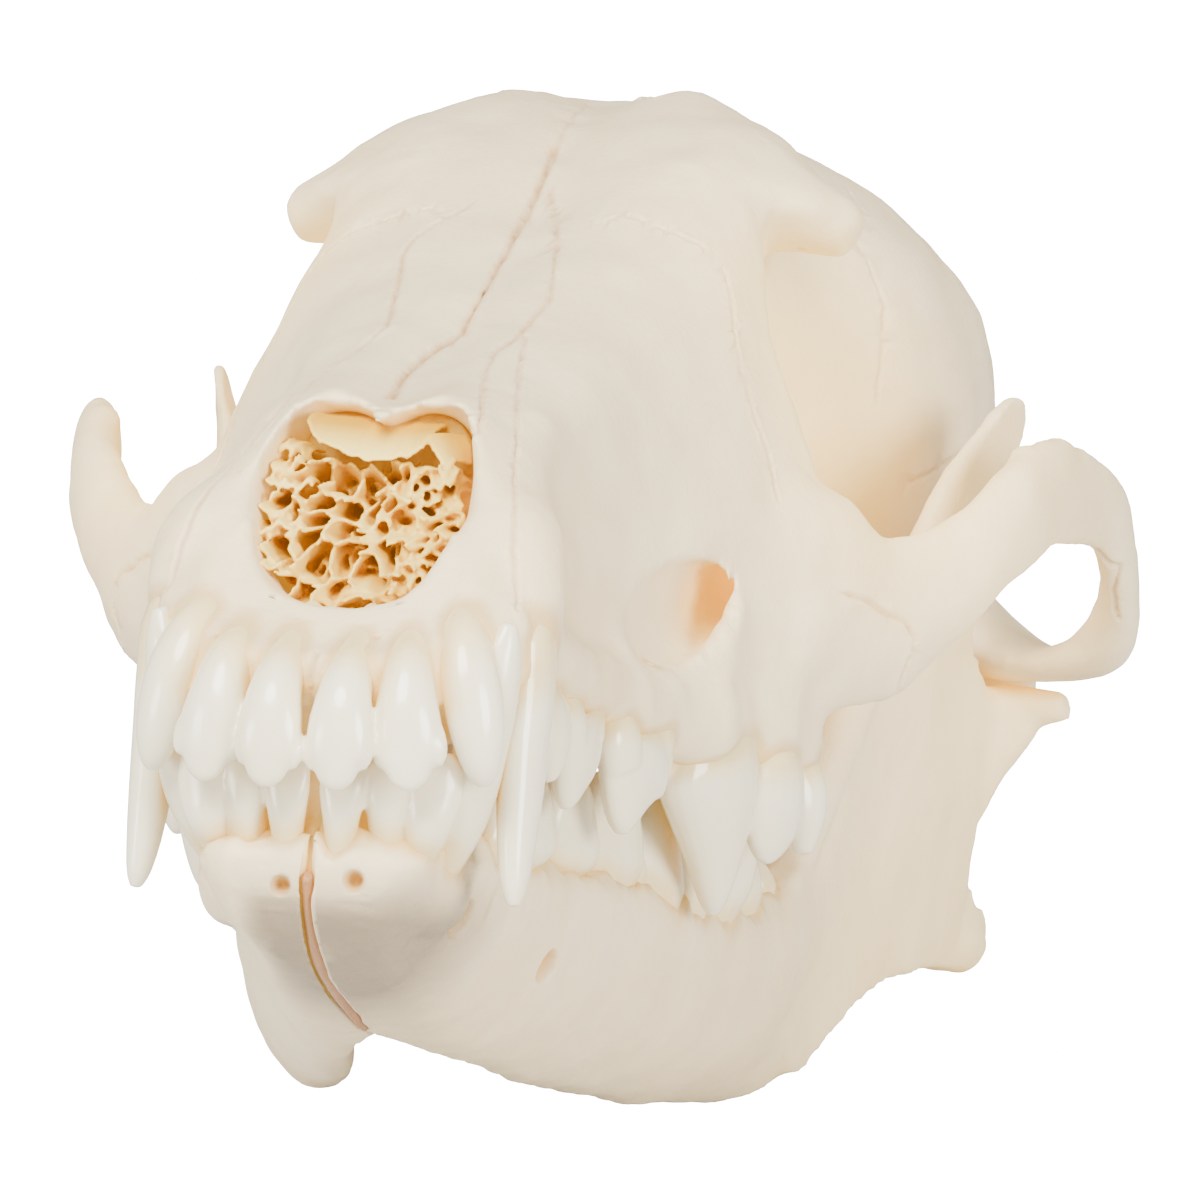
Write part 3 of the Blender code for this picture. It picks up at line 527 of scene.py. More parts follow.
def tree_of(piece):
    bm = bmesh.new()
    bm.from_mesh(piece.data)
    tree = BVHTree.FromBMesh(bm)
    bm.free()
    return tree


def traced(tree, pixels, spacing=5, limit=900):
    """Points on the bone under a smooth line through photo pixels."""
    points = []
    for a, b in zip(pixels, pixels[1:]):
        steps = max(1, round(math.dist(a, b) / spacing))
        points += [Vector(a).lerp(Vector(b), k / steps) for k in range(steps)]
    found = []
    for p in [*points, Vector(pixels[-1])]:
        place = tree.ray_cast(skull_eye, photo_direction(*p), limit)[0]
        if place:
            found.append(place)
    return found


def mirrored(points):
    return [Vector((-p[0], p[1], p[2])) for p in points]


def dense(points, spacing=0.35, wander=0.0):
    """Closely spaced points along a line, which may wander a little from side to side."""
    made = []
    for a, b in zip(points, points[1:]):
        a, b = Vector(a), Vector(b)
        steps = max(1, math.ceil((b - a).length / spacing))
        made += [a.lerp(b, k / steps) for k in range(steps)]
    made.append(Vector(points[-1]))
    return [
        p + noise.noise_vector(p * 0.9) * wander + noise.noise_vector(p * 2.6) * wander * 0.4 for p in made
    ]


# %% Brush strokes on plain arrays
def places_of(piece):
    co = np.empty(len(piece.data.vertices) * 3)
    piece.data.vertices.foreach_get("co", co)
    return co.reshape(-1, 3)


def normals_of(piece):
    piece.data.update()
    no = np.empty(len(piece.data.vertices) * 3)
    piece.data.vertex_normals.foreach_get("vector", no)
    return no.reshape(-1, 3)


def move_to(piece, co):
    piece.data.vertices.foreach_set("co", co.ravel())
    piece.data.update()


def distance_to(co, points, reach):
    """Each place's distance to a dense line, or infinity beyond its reach."""
    line = np.array([tuple(p) for p in points])
    out = np.full(len(co), np.inf)
    near = np.all((co > line.min(0) - reach) & (co < line.max(0) + reach), axis=1)
    index = np.flatnonzero(near)
    for start in range(0, len(index), 4000):
        part = index[start : start + 4000]
        gaps = co[part][:, None, :] - line[None, :, :]
        out[part] = np.sqrt((gaps**2).sum(2).min(1))
    return out


def refine_near(piece, lines, reach, longest):
    """Subdivides once each edge near the lines that is longer than stated."""
    bm = bmesh.new()
    bm.from_mesh(piece.data)
    bm.verts.ensure_lookup_table()
    co = np.array([v.co for v in bm.verts])
    close = np.zeros(len(co), bool)
    for line in lines:
        close |= distance_to(co, line, reach + 0.5) < reach
    edges = [e for e in bm.edges if close[e.verts[0].index] and close[e.verts[1].index]]
    edges = [e for e in edges if e.calc_length() > longest]
    bmesh.ops.subdivide_edges(bm, edges=edges, cuts=1, use_grid_fill=False)
    bmesh.ops.triangulate(bm, faces=[f for f in bm.faces if len(f.verts) > 3])
    bm.to_mesh(piece.data)
    bm.free()


def stroke(co, no, points, width, height, facing=None):
    """Raises or presses the places near a line, as a soft brush does."""
    away = distance_to(co, points, width * 2.6)
    share = np.exp(-((away / width) ** 2))
    if facing is not None:
        share = share * np.clip(no @ np.array(facing), 0, 1)
    co += no * (share * height)[:, None]


# %% [markdown]
# ## Ridges and hollows of the cranium
#
# The roots of the teeth stand out under the thin bone of the face, above all the canine's. Between them
# the bone sinks in. The brow is dished along its middle, the rims of the orbits are crisp, and
# the cheekbone carries a rough line where the jaw muscle takes hold. Both sides get each stroke.

# %% Broad relief
BOTH_SIDES = (
    # canine root, and the hollow behind it
    (((13.2, 11, 6), (13.0, 15, 11), (12.4, 20, 16.5), (11.2, 26, 21)), 2.7, 0.85),
    (((15.2, 25, 14), (15.6, 32, 14), (16.6, 39, 13), (18.2, 46, 15)), 3.6, -0.75),
    (((14.2, 24, 5), (15.2, 31, 6), (15.8, 38, 8)), 2.4, -0.5),
    # roots of the cheek teeth
    (((14.4, 25, 0.5), (14.6, 24.5, 4)), 1.5, 0.35),
    (((15.2, 30, 0.2), (15.2, 30, 3.6)), 1.4, 0.3),
    (((16.4, 37, -0.2), (16.2, 36, 4)), 1.6, 0.4),
    (((18.2, 43, -0.6), (18.2, 43, 3.2)), 1.5, 0.3),
    (((20.4, 51, -1.5), (20.2, 51.5, 3), (20.4, 54, 8)), 1.9, 0.7),
    (((23.6, 62, -1.5), (23.8, 62.6, 3), (24.2, 64, 8)), 2.2, 0.55),
    (((22.2, 56.5, -1), (22.4, 57, 5)), 1.6, -0.35),
    (((25.0, 67.4, -2.0), (25.8, 67.6, 2.0)), 1.7, 0.3),
    # nasal bones, each a gentle vault
    (((3.6, 20, 22.4), (3.8, 28, 24.8), (3.4, 40, 27.5), (2.6, 52, 32)), 2.0, 0.45),
    (((8.8, 22, 20), (8.6, 32, 23.6), (8.6, 44, 27.6), (9, 56, 32)), 2.2, -0.35),
    # rim of the orbit and the groove before it
    (((21.8, 86, 41), (16.6, 79, 41), (15.6, 75.6, 37), (18, 71, 30), (21.5, 68.8, 21.5),
        (25.5, 70, 17)), 1.1, 0.45),
    (((13.5, 74, 38), (15.6, 70, 31.5), (18.8, 66, 24.5)), 2.6, -0.35),
    # muscle line under the cheekbone
    (((24.8, 68, 2.8), (27.4, 72, 4.6), (30, 76.5, 7.4), (32.8, 81, 9.6)), 1.2, 0.5),
    (((27, 70, 9), (30, 75.5, 11), (33.6, 81, 13.6)), 2.0, -0.3),
    # roots of the incisors
    (((2.5, 0.4, 0.6), (2.6, 2.6, 4.6)), 1.2, 0.3),
    (((6.4, 1.4, 1.2), (6.2, 3.4, 5.4)), 1.3, 0.3),
    (((10.0, 4.4, 2.8), (9.4, 6.8, 7.6)), 1.4, 0.35),
    # hollow of the temple beside the brain
    (((18, 100, 40), (20, 104, 34)), 5, -0.5),
)
MIDLINE = (
    (((0, 34, 25.4), (0, 46, 28.4), (0, 58, 33.6), (0, 70, 40.2)), 2.0, -0.45),
    (((0, 70, 41), (0, 80, 45.4), (0, 90, 49.2), (0, 98, 50.6)), 4.2, -0.75),
    (((0, 2.2, 1.2), (0, 3.4, 3.8)), 0.8, -0.25),
)


def skewed_points(points):
    return [Vector((x, y, z + SKEW * x)) for x, y, z in points]


def skewed(piece, fades=True):
    """Raises the animal's left side and lowers its right one. In the cranium this fades at the jaw joint."""
    co = places_of(piece)
    share = np.clip((120 - co[:, 1]) / 10, 0, 1) if fades else 1.0
    brow = np.clip((co[:, 2] - BROW_FROM) / 15, 0, 1)
    co[:, 2] += (SKEW + BROW_SKEW * brow) * co[:, 0] * share
    move_to(piece, co)


def edges_of(piece):
    edges = np.empty(len(piece.data.edges) * 2, dtype=np.int64)
    piece.data.edges.foreach_get("vertices", edges)
    return edges.reshape(-1, 2).T


def soften(piece, centre, reach, rounds):
    """Evens out the skin around a place, most at its middle and not at all beyond its reach."""
    co = places_of(piece)
    share = np.clip(1 - ((co - np.array(centre)) ** 2 / np.array(reach) ** 2).sum(1), 0, 1)
    share = np.sqrt(share)[:, None]
    a, b = edges_of(piece)
    count = np.bincount(a, minlength=len(co)) + np.bincount(b, minlength=len(co))
    for _ in range(rounds):
        around = np.empty_like(co)
        for axis in range(3):
            near = np.bincount(a, co[b, axis], len(co)) + np.bincount(b, co[a, axis], len(co))
            around[:, axis] = near / np.maximum(count, 1)
        co += (around - co) * share * 0.6
    move_to(piece, co)


# where bars join the shell, the skin is evened out: middle, reach and rounds
SOFT_JOINS = (
    ((12, 84, 47), (10, 14, 9), 90),
    ((26, 66, 10), (9, 12, 12), 30),
    ((15, 96, 46), (7, 10, 8), 50),
    ((15, 41, 6), (5, 8, 6), 25),
    ((17, 86, 41), (8, 11, 6), 12),
    ((5, 2, 2.6), (8, 6, 4), 40),
    ((12, 18, 14), (7, 12, 9), 60),
)
skewed(cranium)
for side in (1, -1):
    for (x, y, z), reach, rounds in SOFT_JOINS:
        soften(cranium, (side * x, y, z), reach, rounds)
co, no = places_of(cranium), normals_of(cranium)
for points, width, height in BOTH_SIDES:
    for line in (points, mirrored(points)):
        stroke(co, no, dense(skewed_points(line)), width, height)
for points, width, height in MIDLINE:
    stroke(co, no, dense(points), width, height)
move_to(cranium, co)
print("broad relief:", 2 * len(BOTH_SIDES) + len(MIDLINE), "strokes")

# %% [markdown]
# ## Sutures and pits
#
# The bones of the skull meet along sutures, seen here as fine tan lines. Each is pressed in as a narrow
# groove and is also stored as a mask for its colour. Small holes for nerves and vessels are shallow pits
# whose bottom is darkened with painted shade. Those seen in the photograph are traced on it. The unseen side
# gets the mirror image.

# %% Traced lines
# each line of pixels has its width in millimetres, its depth, and how strongly it is stained
INTERNASAL = ((393, 396), (404, 376), (430, 354), (462, 334), (486, 290), (512, 240), (533, 200),
    (548, 166), (556, 145))
INTERFRONTAL = ((556, 145), (566, 128), (577, 112), (590, 104))
NASAL_EDGE = ((469, 455), (481, 418), (485, 372), (497, 349), (518, 336), (529, 322), (543, 306),
    (550, 299), (554, 267))
NASAL_TIP = ((554, 267), (557, 234), (552, 206), (549, 190))
PREMAXILLA_EDGE = (
    *((517, 610), (516, 580), (514, 540), (515, 500), (514, 473)),
    *((517, 430), (518, 390), (524, 345), (526, 335)),
)
FAR_NASAL_EDGE = ((387, 329), (398, 285), (402, 257), (414, 240))
FAR_FRONTAL_EDGE = ((414, 240), (432, 226), (460, 210), (478, 200))
FAR_PREMAXILLA_EDGE = ((256, 441), (284, 412), (318, 381), (340, 360), (359, 347), (387, 329))
MAXILLA_TO_FRONTAL = (
    *((591, 218), (604, 222), (621, 214), (655, 225), (680, 236)),
    *((701, 246), (718, 262), (726, 276), (732, 300), (735, 330)),
)
MAXILLA_TO_ORBIT = ((735, 330), (742, 370), (752, 400), (761, 427))
ORBIT_FLOOR = ((757, 418), (766, 440), (774, 470), (779, 500))
CHEEK_TOP = ((849, 596), (862, 599), (872, 602), (884, 612), (896, 617), (905, 621), (915, 637))
CHEEK_BACK = ((915, 637), (912, 655), (903, 676), (897, 694))
BETWEEN_INCISORS = ((317, 652), (312, 664), (310, 682), (313, 706))
TEMPLE = ((852, 190), (858, 202), (866, 216), (872, 232))
SEEN_SUTURES = (
    (INTERNASAL, 0.26, 0.42, 1.0),
    (INTERFRONTAL, 0.2, 0.15, 0.4),
    (NASAL_EDGE, 0.2, 0.3, 0.65),
    (NASAL_TIP, 0.22, 0.3, 0.8),
    (PREMAXILLA_EDGE, 0.17, 0.26, 0.7),
    (FAR_NASAL_EDGE, 0.2, 0.3, 0.75),
    (FAR_FRONTAL_EDGE, 0.17, 0.2, 0.35),
    (FAR_PREMAXILLA_EDGE, 0.2, 0.25, 0.45),
    (MAXILLA_TO_FRONTAL, 0.17, 0.22, 0.4),
    (MAXILLA_TO_ORBIT, 0.16, 0.2, 0.35),
    (ORBIT_FLOOR, 0.16, 0.25, 0.7),
    (CHEEK_TOP, 0.2, 0.35, 0.75),
    (CHEEK_BACK, 0.16, 0.2, 0.35),
    (BETWEEN_INCISORS, 0.2, 0.35, 0.8),
    (TEMPLE, 0.2, 0.2, 0.5),
)
# those whose mirror image the photograph doesn't show
HIDDEN_TOO = (PREMAXILLA_EDGE, MAXILLA_TO_FRONTAL, MAXILLA_TO_ORBIT, ORBIT_FLOOR)
HIDDEN_TOO += (CHEEK_TOP, CHEEK_BACK, TEMPLE)
UNSEEN_SUTURES = (
    (((0, 104, 52), (0, 118, 54), (0, 132, 55), (0, 146, 55)), 0.2, 0.15, 0.3),
    (((4, 99, 52), (12, 103, 49.5), (19, 107, 44), (22.6, 109, 36), (22.4, 108, 28)), 0.2, 0.22, 0.5),
    (((27, 112, 21), (29.5, 122, 25), (30, 132, 27), (27, 142, 27)), 0.2, 0.22, 0.5),
    (((37.4, 98, 21.5), (40, 104, 18), (42, 110, 16.2), (42, 115, 12.6)), 0.22, 0.3, 0.6),
    (((0, 6, -0.6), (0, 20, 0.4), (0, 40, 1.4), (0, 60, 2.4), (0, 76, 2.4)), 0.2, 0.25, 0.6),
    (((3, 63, 2.4), (9, 61, 1.2), (13, 66, 0.2), (13.5, 74, -0.4)), 0.2, 0.25, 0.5),
    (((4.6, 121, 6.2), (9, 121.5, 7), (13.5, 120.5, 8)), 0.2, 0.3, 0.5),
)
# each pit's pixel, radius and depth in millimetres
SEEN_PITS = (
    *(((218, 635), 0.2, 0.5), ((377, 636), 0.16, 0.4), ((655, 226), 0.18, 0.4), ((702, 246), 0.18, 0.4)),
    *(((801, 250), 0.3, 0.5), ((710, 290), 0.14, 0.2), ((612, 604), 0.12, 0.2), ((240, 470), 0.14, 0.2)),
)
WIDTH_SHARE = 0.9

tree = tree_of(cranium)
sutures = []
for pixels, width, depth, stain_and_shade in SEEN_SUTURES:
    line = dense(traced(tree, pixels), 0.2, 0.1)
    sutures.append((line, WIDTH_SHARE * width, depth, stain_and_shade))
for (pixels, *_), (line, *look) in zip(SEEN_SUTURES, list(sutures)):
    if pixels in HIDDEN_TOO:
        found = [tree.find_nearest(p)[0] for p in mirrored(line)]
        sutures.append((dense(found, 0.2), *look))
for points, width, depth, stain_and_shade in UNSEEN_SUTURES:
    on_midline = max(abs(p[0]) for p in points) <= 1
    for line in (points,) if on_midline else (points, mirrored(points)):
        found = [tree.find_nearest(p)[0] for p in dense(line, 1.0)]
        sutures.append((dense(found, 0.2, 0.15), WIDTH_SHARE * width, depth, stain_and_shade))
pits = []
for pixel, radius, depth in SEEN_PITS:
    pits.append((tree.ray_cast(skull_eye, photo_direction(*pixel))[0], radius, depth))
lines = [line for line, *_ in sutures] + [[place] for place, *_ in pits]
for reach, longest in ((1.3, 0.55), (0.8, 0.3)):
    refine_near(cranium, lines, reach, longest)
print("cranium refined:", len(cranium.data.polygons), "faces,", len(sutures), "sutures")

# %% Pressing the sutures and pits
SUTURE_REACH = 1.2
LIP_HEIGHT = 0.05
co, no = places_of(cranium), normals_of(cranium)
# this mask holds the sutures' own tan and the painted shade at each pit's bottom
seam_and_shade = np.zeros(len(co))
for line, width, depth, stain_and_shade in sutures:
    away = distance_to(co, line, SUTURE_REACH)
    groove = np.exp(-((away / width) ** 2))
    lips = np.exp(-(((away - 2.2 * width) / (1.4 * width)) ** 2))
    co += no * (lips * LIP_HEIGHT - groove * depth)[:, None]
    near = away < SUTURE_REACH
    patchy = np.zeros(len(co))
    patchy[near] = [0.72 + 0.5 * noise.noise(Vector(p) * 0.7) for p in co[near]]
    seam_and_shade = np.maximum(seam_and_shade, np.exp(-((away / (width * 1.15)) ** 2)) * stain_and_shade * patchy)
# painted shade: each pit's bottom is darkened
for place, radius, depth in pits:
    away = distance_to(co, [place], SUTURE_REACH)
    dip = np.exp(-((away / radius) ** 2))
    co -= no * (dip * depth)[:, None]
    seam_and_shade = np.maximum(seam_and_shade, dip)
move_to(cranium, co)


def store(piece, name, values):
    """Keeps one number per vertex, for the finishes to read."""
    layer = piece.data.attributes.new(name, "FLOAT", "POINT")
    layer.data.foreach_set("value", np.clip(values, 0, 1))


store(cranium, "seam_and_shade", seam_and_shade)

# %% [markdown]
# ## Teeth
#
# A tooth grows along a curved axis, and its section is an oval whose long way lies along the tooth row.
# Each row of numbers is one station from the buried root to the tip: x, y, z, half width along the
# row and half width across it. A tooth with several cusps or roots is several such forms, fused. So an
# incisor gets its three lobes from three forms, and a carnassial its blade from two.

# %% Front teeth
# each form states the turn of the tooth row in degrees and its stations; sizes are in millimetres
UPPER_FRONT = (
    # first incisor and its two side lobes
    (0, ((2.2, 9, 5, 1.0, 1.2), (2.4, 3.6, 2.2, 1.4, 1.5), (2.45, 0.7, 0.6, 1.7, 1.75),
        (2.5, -1.0, -1.2, 2.0, 1.8), (2.5, -1.7, -3.2, 2.3, 1.55), (2.5, -1.95, -4.9, 2.2, 1.15),
        (2.5, -1.95, -6.0, 1.7, 0.85), (2.5, -1.85, -7.0, 1.25, 0.6), (2.5, -1.8, -7.6, 0.5, 0.3))),
    (0, ((1.4, -1.2, -2.6, 0.7, 1.0), (0.95, -1.6, -4.2, 0.9, 0.85), (0.75, -1.75, -5.5, 0.75, 0.6),
        (0.7, -1.75, -6.3, 0.25, 0.25))),
    (0, ((3.6, -1.2, -2.6, 0.7, 1.0), (4.05, -1.5, -4.1, 0.9, 0.85), (4.25, -1.6, -5.3, 0.75, 0.6),
        (4.3, -1.6, -6.1, 0.25, 0.25))),
    # second incisor and its lobes
    (12, ((5.6, 10, 5, 1.2, 1.4), (6.1, 4.8, 2.8, 1.5, 1.6), (6.45, 1.8, 1.2, 1.8, 1.85),
        (6.75, 0.5, -1.0, 2.15, 1.85), (7.0, 0.0, -3.0, 2.45, 1.6), (7.2, -0.2, -4.9, 2.3, 1.15),
        (7.35, -0.2, -6.0, 1.7, 0.85), (7.45, -0.15, -6.9, 1.15, 0.6), (7.5, -0.1, -7.4, 0.4, 0.3))),
    (12, ((6.0, 0.2, -2.4, 0.7, 1.0), (5.5, -0.3, -4.0, 0.8, 0.85), (5.35, -0.45, -5.2, 0.65, 0.55),
        (5.35, -0.45, -5.9, 0.2, 0.2))),
    (12, ((8.2, 0.6, -2.2, 0.8, 1.0), (8.8, 0.3, -3.6, 0.95, 0.85), (9.2, 0.3, -4.8, 0.75, 0.6),
        (9.35, 0.3, -5.6, 0.25, 0.25))),
    # third incisor, shaped like a small canine
    (28, ((8.4, 11.4, 6.6, 1.4, 1.4), (9.3, 6.6, 4.8, 1.6, 1.6), (9.9, 4.3, 3.3, 1.85, 1.7),
        (10.6, 3.2, 0.9, 2.15, 1.75), (11.2, 3.0, -1.8, 2.15, 1.65), (11.65, 3.2, -4.2, 1.75, 1.35),
        (11.9, 3.6, -5.9, 1.15, 0.95), (11.95, 3.9, -6.7, 0.5, 0.45))),
    # canine
    (86, ((9.0, 17.5, 11, 1.8, 1.3), (11.4, 14.0, 7.6, 2.3, 1.5), (13.2, 10.9, 4.4, 2.8, 1.75),
        (13.45, 10.8, 0.5, 2.9, 1.8), (13.4, 10.4, -3.5, 2.75, 1.75), (13.45, 9.9, -7.5, 2.4, 1.6),
        (13.55, 9.3, -11.3, 1.85, 1.3), (13.7, 8.8, -13.9, 1.15, 0.9), (13.8, 8.55, -15.1, 0.45, 0.4))),
)
UPPER_CHEEK = (
    # first premolar
    (84, ((11.6, 18.4, 4, 1.2, 1.0), (12.8, 18.4, 0.8, 1.6, 1.2), (13.6, 18.3, -1.2, 2.6, 1.5),
        (13.9, 18.1, -3.6, 2.3, 1.3), (13.9, 18.0, -5.4, 1.1, 0.8), (13.9, 18.0, -6.0, 0.4, 0.35))),
    # second premolar: two roots, main cusp, heel
    (82, ((11.9, 24.0, 4.5, 1.0, 1.0), (13.1, 24.0, 0.8, 1.4, 1.25), (13.8, 24.2, -1.4, 1.9, 1.45),
        (14.0, 25, -3.2, 1.5, 1.3))),
    (82, ((12.5, 30.0, 4.2, 1.0, 1.0), (13.8, 29.8, 0.6, 1.4, 1.25), (14.3, 29.2, -1.4, 1.8, 1.4),
        (14.2, 28.4, -2.8, 1.4, 1.2))),
    (82, ((14.0, 26.9, -0.7, 2.8, 1.0), (14.05, 26.9, -1.9, 4.3, 1.5), (14.1, 26.4, -3.6, 3.9, 1.5),
        (14.0, 25.7, -5.4, 2.7, 1.25), (13.95, 25.3, -6.9, 1.5, 0.9), (13.95, 25.2, -7.8, 0.5, 0.4))),
    (82, ((14.4, 29.8, -1.0, 1.8, 1.2), (14.5, 30.2, -2.8, 1.4, 1.0), (14.5, 30.4, -4.0, 0.5, 0.4))),
    # third premolar
    (74, ((13.4, 34.8, 4, 1.2, 1.2), (15.0, 34.8, -0.2, 1.6, 1.45), (15.6, 35.0, -2.2, 2.4, 1.7),
        (16.0, 35.6, -4.4, 2.2, 1.5))),
    (74, ((15.6, 42.2, 3.4, 1.2, 1.2), (16.9, 42.2, -0.6, 1.6, 1.45), (17.1, 41.6, -2.4, 2.1, 1.6),
        (16.8, 40.4, -4.0, 1.6, 1.4))),
    (74, ((16.3, 38.4, -1.7, 3.2, 1.2), (16.4, 38.4, -2.9, 4.9, 1.75), (16.3, 37.4, -4.6, 4.6, 1.7),
        (16.2, 36.7, -6.6, 3.1, 1.4), (16.2, 36.4, -8.3, 1.7, 1.0), (16.2, 36.4, -9.3, 0.5, 0.45))),
    (74, ((17.2, 42.4, -2.0, 1.9, 1.4), (17.4, 43.0, -3.8, 1.5, 1.1), (17.5, 43.2, -5.4, 0.6, 0.5))),
    # fourth premolar, the carnassial: main cusp, blade, inner cusp
    (66, ((17.6, 51.6, 3, 2.2, 1.9), (18.6, 52.8, -0.8, 3.8, 2.4), (19.2, 53.8, -3.0, 5.6, 2.9),
        (19.6, 55.0, -5.8, 5.0, 2.7), (19.8, 56.2, -9.0, 3.6, 2.1), (19.8, 57.2, -12.0, 2.1, 1.5),
        (19.75, 57.9, -14.0, 1.1, 0.9), (19.7, 58.0, -14.9, 0.4, 0.35))),
    (66, ((20.8, 60.6, 2, 1.8, 1.6), (21.8, 61.0, -1.4, 2.8, 2.0), (22.5, 61.2, -3.4, 3.9, 2.3),
        (23.0, 61.4, -5.8, 3.9, 2.0), (23.1, 61.4, -8.0, 3.2, 1.5), (22.9, 61.2, -9.8, 1.9, 0.9),
        (22.8, 61.0, -10.6, 0.6, 0.4))),
    (60, ((16.9, 49.4, 2, 1.6, 1.5), (16.6, 49.4, -1.2, 2.2, 2.0), (16.2, 49.4, -3.6, 1.6, 1.5),
        (15.9, 49.6, -5.4, 0.5, 0.5))),
    # first molar: two outer cusps and an inner basin
    (76, ((22.2, 68.4, 1, 2.0, 1.8), (23.0, 68.4, -3.0, 2.6, 2.5), (24.0, 68.4, -5.4, 2.5, 2.4),
        (24.5, 68.2, -7.8, 1.9, 1.7), (24.8, 68.0, -9.8, 0.7, 0.7))),
    (84, ((21.6, 72.6, 0, 1.9, 1.8), (22.5, 72.6, -3.4, 2.5, 2.6), (23.2, 72.6, -5.6, 2.1, 2.0),
        (23.6, 72.6, -7.6, 0.7, 0.7))),
    (84, ((17.6, 69.2, 1, 2.2, 2.2), (17.7, 69.2, -2.8, 3.9, 3.8), (17.9, 69.2, -4.8, 3.4, 3.2),
        (17.6, 69.2, -6.2, 1.2, 1.2))),
    # second molar
    (88, ((20.4, 76.8, 0, 1.6, 1.8), (20.4, 76.8, -3.6, 2.6, 2.8), (20.6, 76.8, -5.6, 1.8, 1.9),
        (20.6, 76.8, -6.6, 0.7, 0.7))),
    (88, ((17.0, 77.2, 0, 1.6, 1.6), (17.0, 77.2, -3.2, 2.6, 2.6), (17.0, 77.2, -4.8, 1.8, 1.8),
        (17.0, 77.2, -5.4, 0.7, 0.7))),
)
LOWER_ROW = (
    # incisors, spread towards their edges
    (0, ((1.9, 8, -17, 0.8, 1.0), (1.9, 4.6, -12.4, 0.95, 1.3), (1.95, 3.5, -9.8, 1.3, 1.3),
        (2.0, 3.0, -7.8, 1.65, 1.0), (2.0, 2.85, -6.0, 1.65, 0.65), (2.0, 2.8, -4.9, 1.2, 0.35))),
    (6, ((4.6, 9, -16, 0.9, 1.1), (4.9, 5.6, -11.8, 1.1, 1.4), (5.1, 4.4, -9.2, 1.5, 1.4),
        (5.2, 3.8, -7.4, 1.8, 1.0), (5.25, 3.65, -5.7, 1.75, 0.65), (5.2, 3.6, -4.7, 1.2, 0.35))),
    (18, ((5.4, 10, -16, 0.8, 0.8), (6.9, 6.8, -12.4, 1.1, 1.2), (7.9, 4.9, -9.8, 1.7, 1.5),
        (8.4, 4.4, -7.6, 2.0, 1.1), (8.7, 4.15, -5.6, 1.7, 0.7), (8.8, 4.0, -4.5, 1.0, 0.35))),
    # canine
    (55, ((4.0, 14, -17, 1.5, 1.4), (6.3, 12.0, -14.2, 1.7, 1.5), (8.3, 9.4, -11.4, 2.0, 1.7),
        (10.0, 7.7, -8, 2.15, 1.85), (11.0, 6.9, -4, 2.1, 1.8), (11.8, 6.3, -0.2, 1.9, 1.65),
        (12.35, 5.85, 3.0, 1.4, 1.25), (12.75, 5.6, 4.9, 0.6, 0.55))),
    # premolars
    (84, ((8.2, 20, -15.5, 1.1, 1.0), (8.8, 20, -12.2, 1.8, 1.2), (9.9, 19.9, -10.4, 2.8, 1.7),
        (10.1, 19.6, -8.2, 2.0, 1.2), (10.1, 19.6, -6.8, 0.7, 0.6))),
    (80, ((9.0, 28.6, -15.5, 2.4, 1.1), (9.6, 28.5, -12.2, 3.4, 1.3), (10.4, 28.0, -10.6, 4.9, 1.9),
        (10.6, 27.6, -8.4, 3.9, 1.6), (10.6, 27.4, -6.0, 2.6, 1.3), (10.6, 27.3, -4.8, 1.2, 0.8))),
    (76, ((10.4, 39.0, -15.5, 2.6, 1.2), (11.0, 38.9, -12.2, 3.7, 1.5), (11.6, 38.8, -10.8, 4.8, 1.9),
        (11.7, 38.6, -8.6, 4.0, 1.6), (11.6, 38.2, -6.4, 2.8, 1.5), (11.5, 38.0, -4.8, 1.5, 1.0))),
    (72, ((12.6, 48.6, -16.5, 2.8, 1.4), (12.9, 48.4, -12.6, 4.1, 1.9), (13.0, 48.3, -11.0, 5.0, 2.0),
        (13.1, 48.2, -8.6, 4.2, 1.7), (13.0, 48.0, -6.2, 3.0, 1.5), (12.9, 48.0, -4.5, 1.6, 1.2))),
    (72, ((13.8, 52.0, -16.5, 1.3, 1.1), (14.0, 52.0, -12.6, 1.9, 1.5), (14.0, 52.3, -10.6, 1.4, 1.1),
        (14.0, 52.4, -9.4, 0.5, 0.4))),
    # carnassial
    (68, ((14.4, 57.2, -17.5, 2.4, 1.6), (14.7, 57.2, -13.4, 3.9, 2.3), (14.8, 57.2, -11.2, 3.6, 2.0),
        (14.8, 57.2, -8.2, 3.0, 1.5), (14.8, 57.2, -6.0, 1.4, 0.9))),
    (68, ((15.4, 62.6, -17.5, 3.0, 1.7), (15.6, 62.6, -13.8, 4.7, 2.3), (15.6, 62.7, -10.8, 4.4, 1.9),
        (15.4, 62.6, -7.6, 3.4, 1.5), (15.3, 62.4, -5.2, 1.6, 0.9))),
    (68, ((16.6, 69.2, -18.5, 2.4, 1.9), (16.8, 69.2, -14.2, 3.9, 2.7), (17.8, 69.2, -11.4, 3.8, 3.0),
        (18.6, 69.4, -9.4, 3.0, 2.4), (18.8, 69.4, -8.2, 1.6, 1.2))),
    # last molars
    (72, ((17.6, 76.0, -16.5, 2.2, 1.7), (17.7, 76.0, -13.2, 3.4, 2.6), (17.8, 76.0, -10.6, 2.8, 2.0),
        (17.8, 76.0, -9.0, 1.0, 0.8))),
    (74, ((18.9, 81.2, -15.5, 1.3, 1.2), (18.9, 81.2, -12.4, 1.9, 1.8), (18.9, 81.2, -11.0, 1.3, 1.2),
        (18.9, 81.2, -10.2, 0.5, 0.5))),
)
TOOTH_SIDES = 20


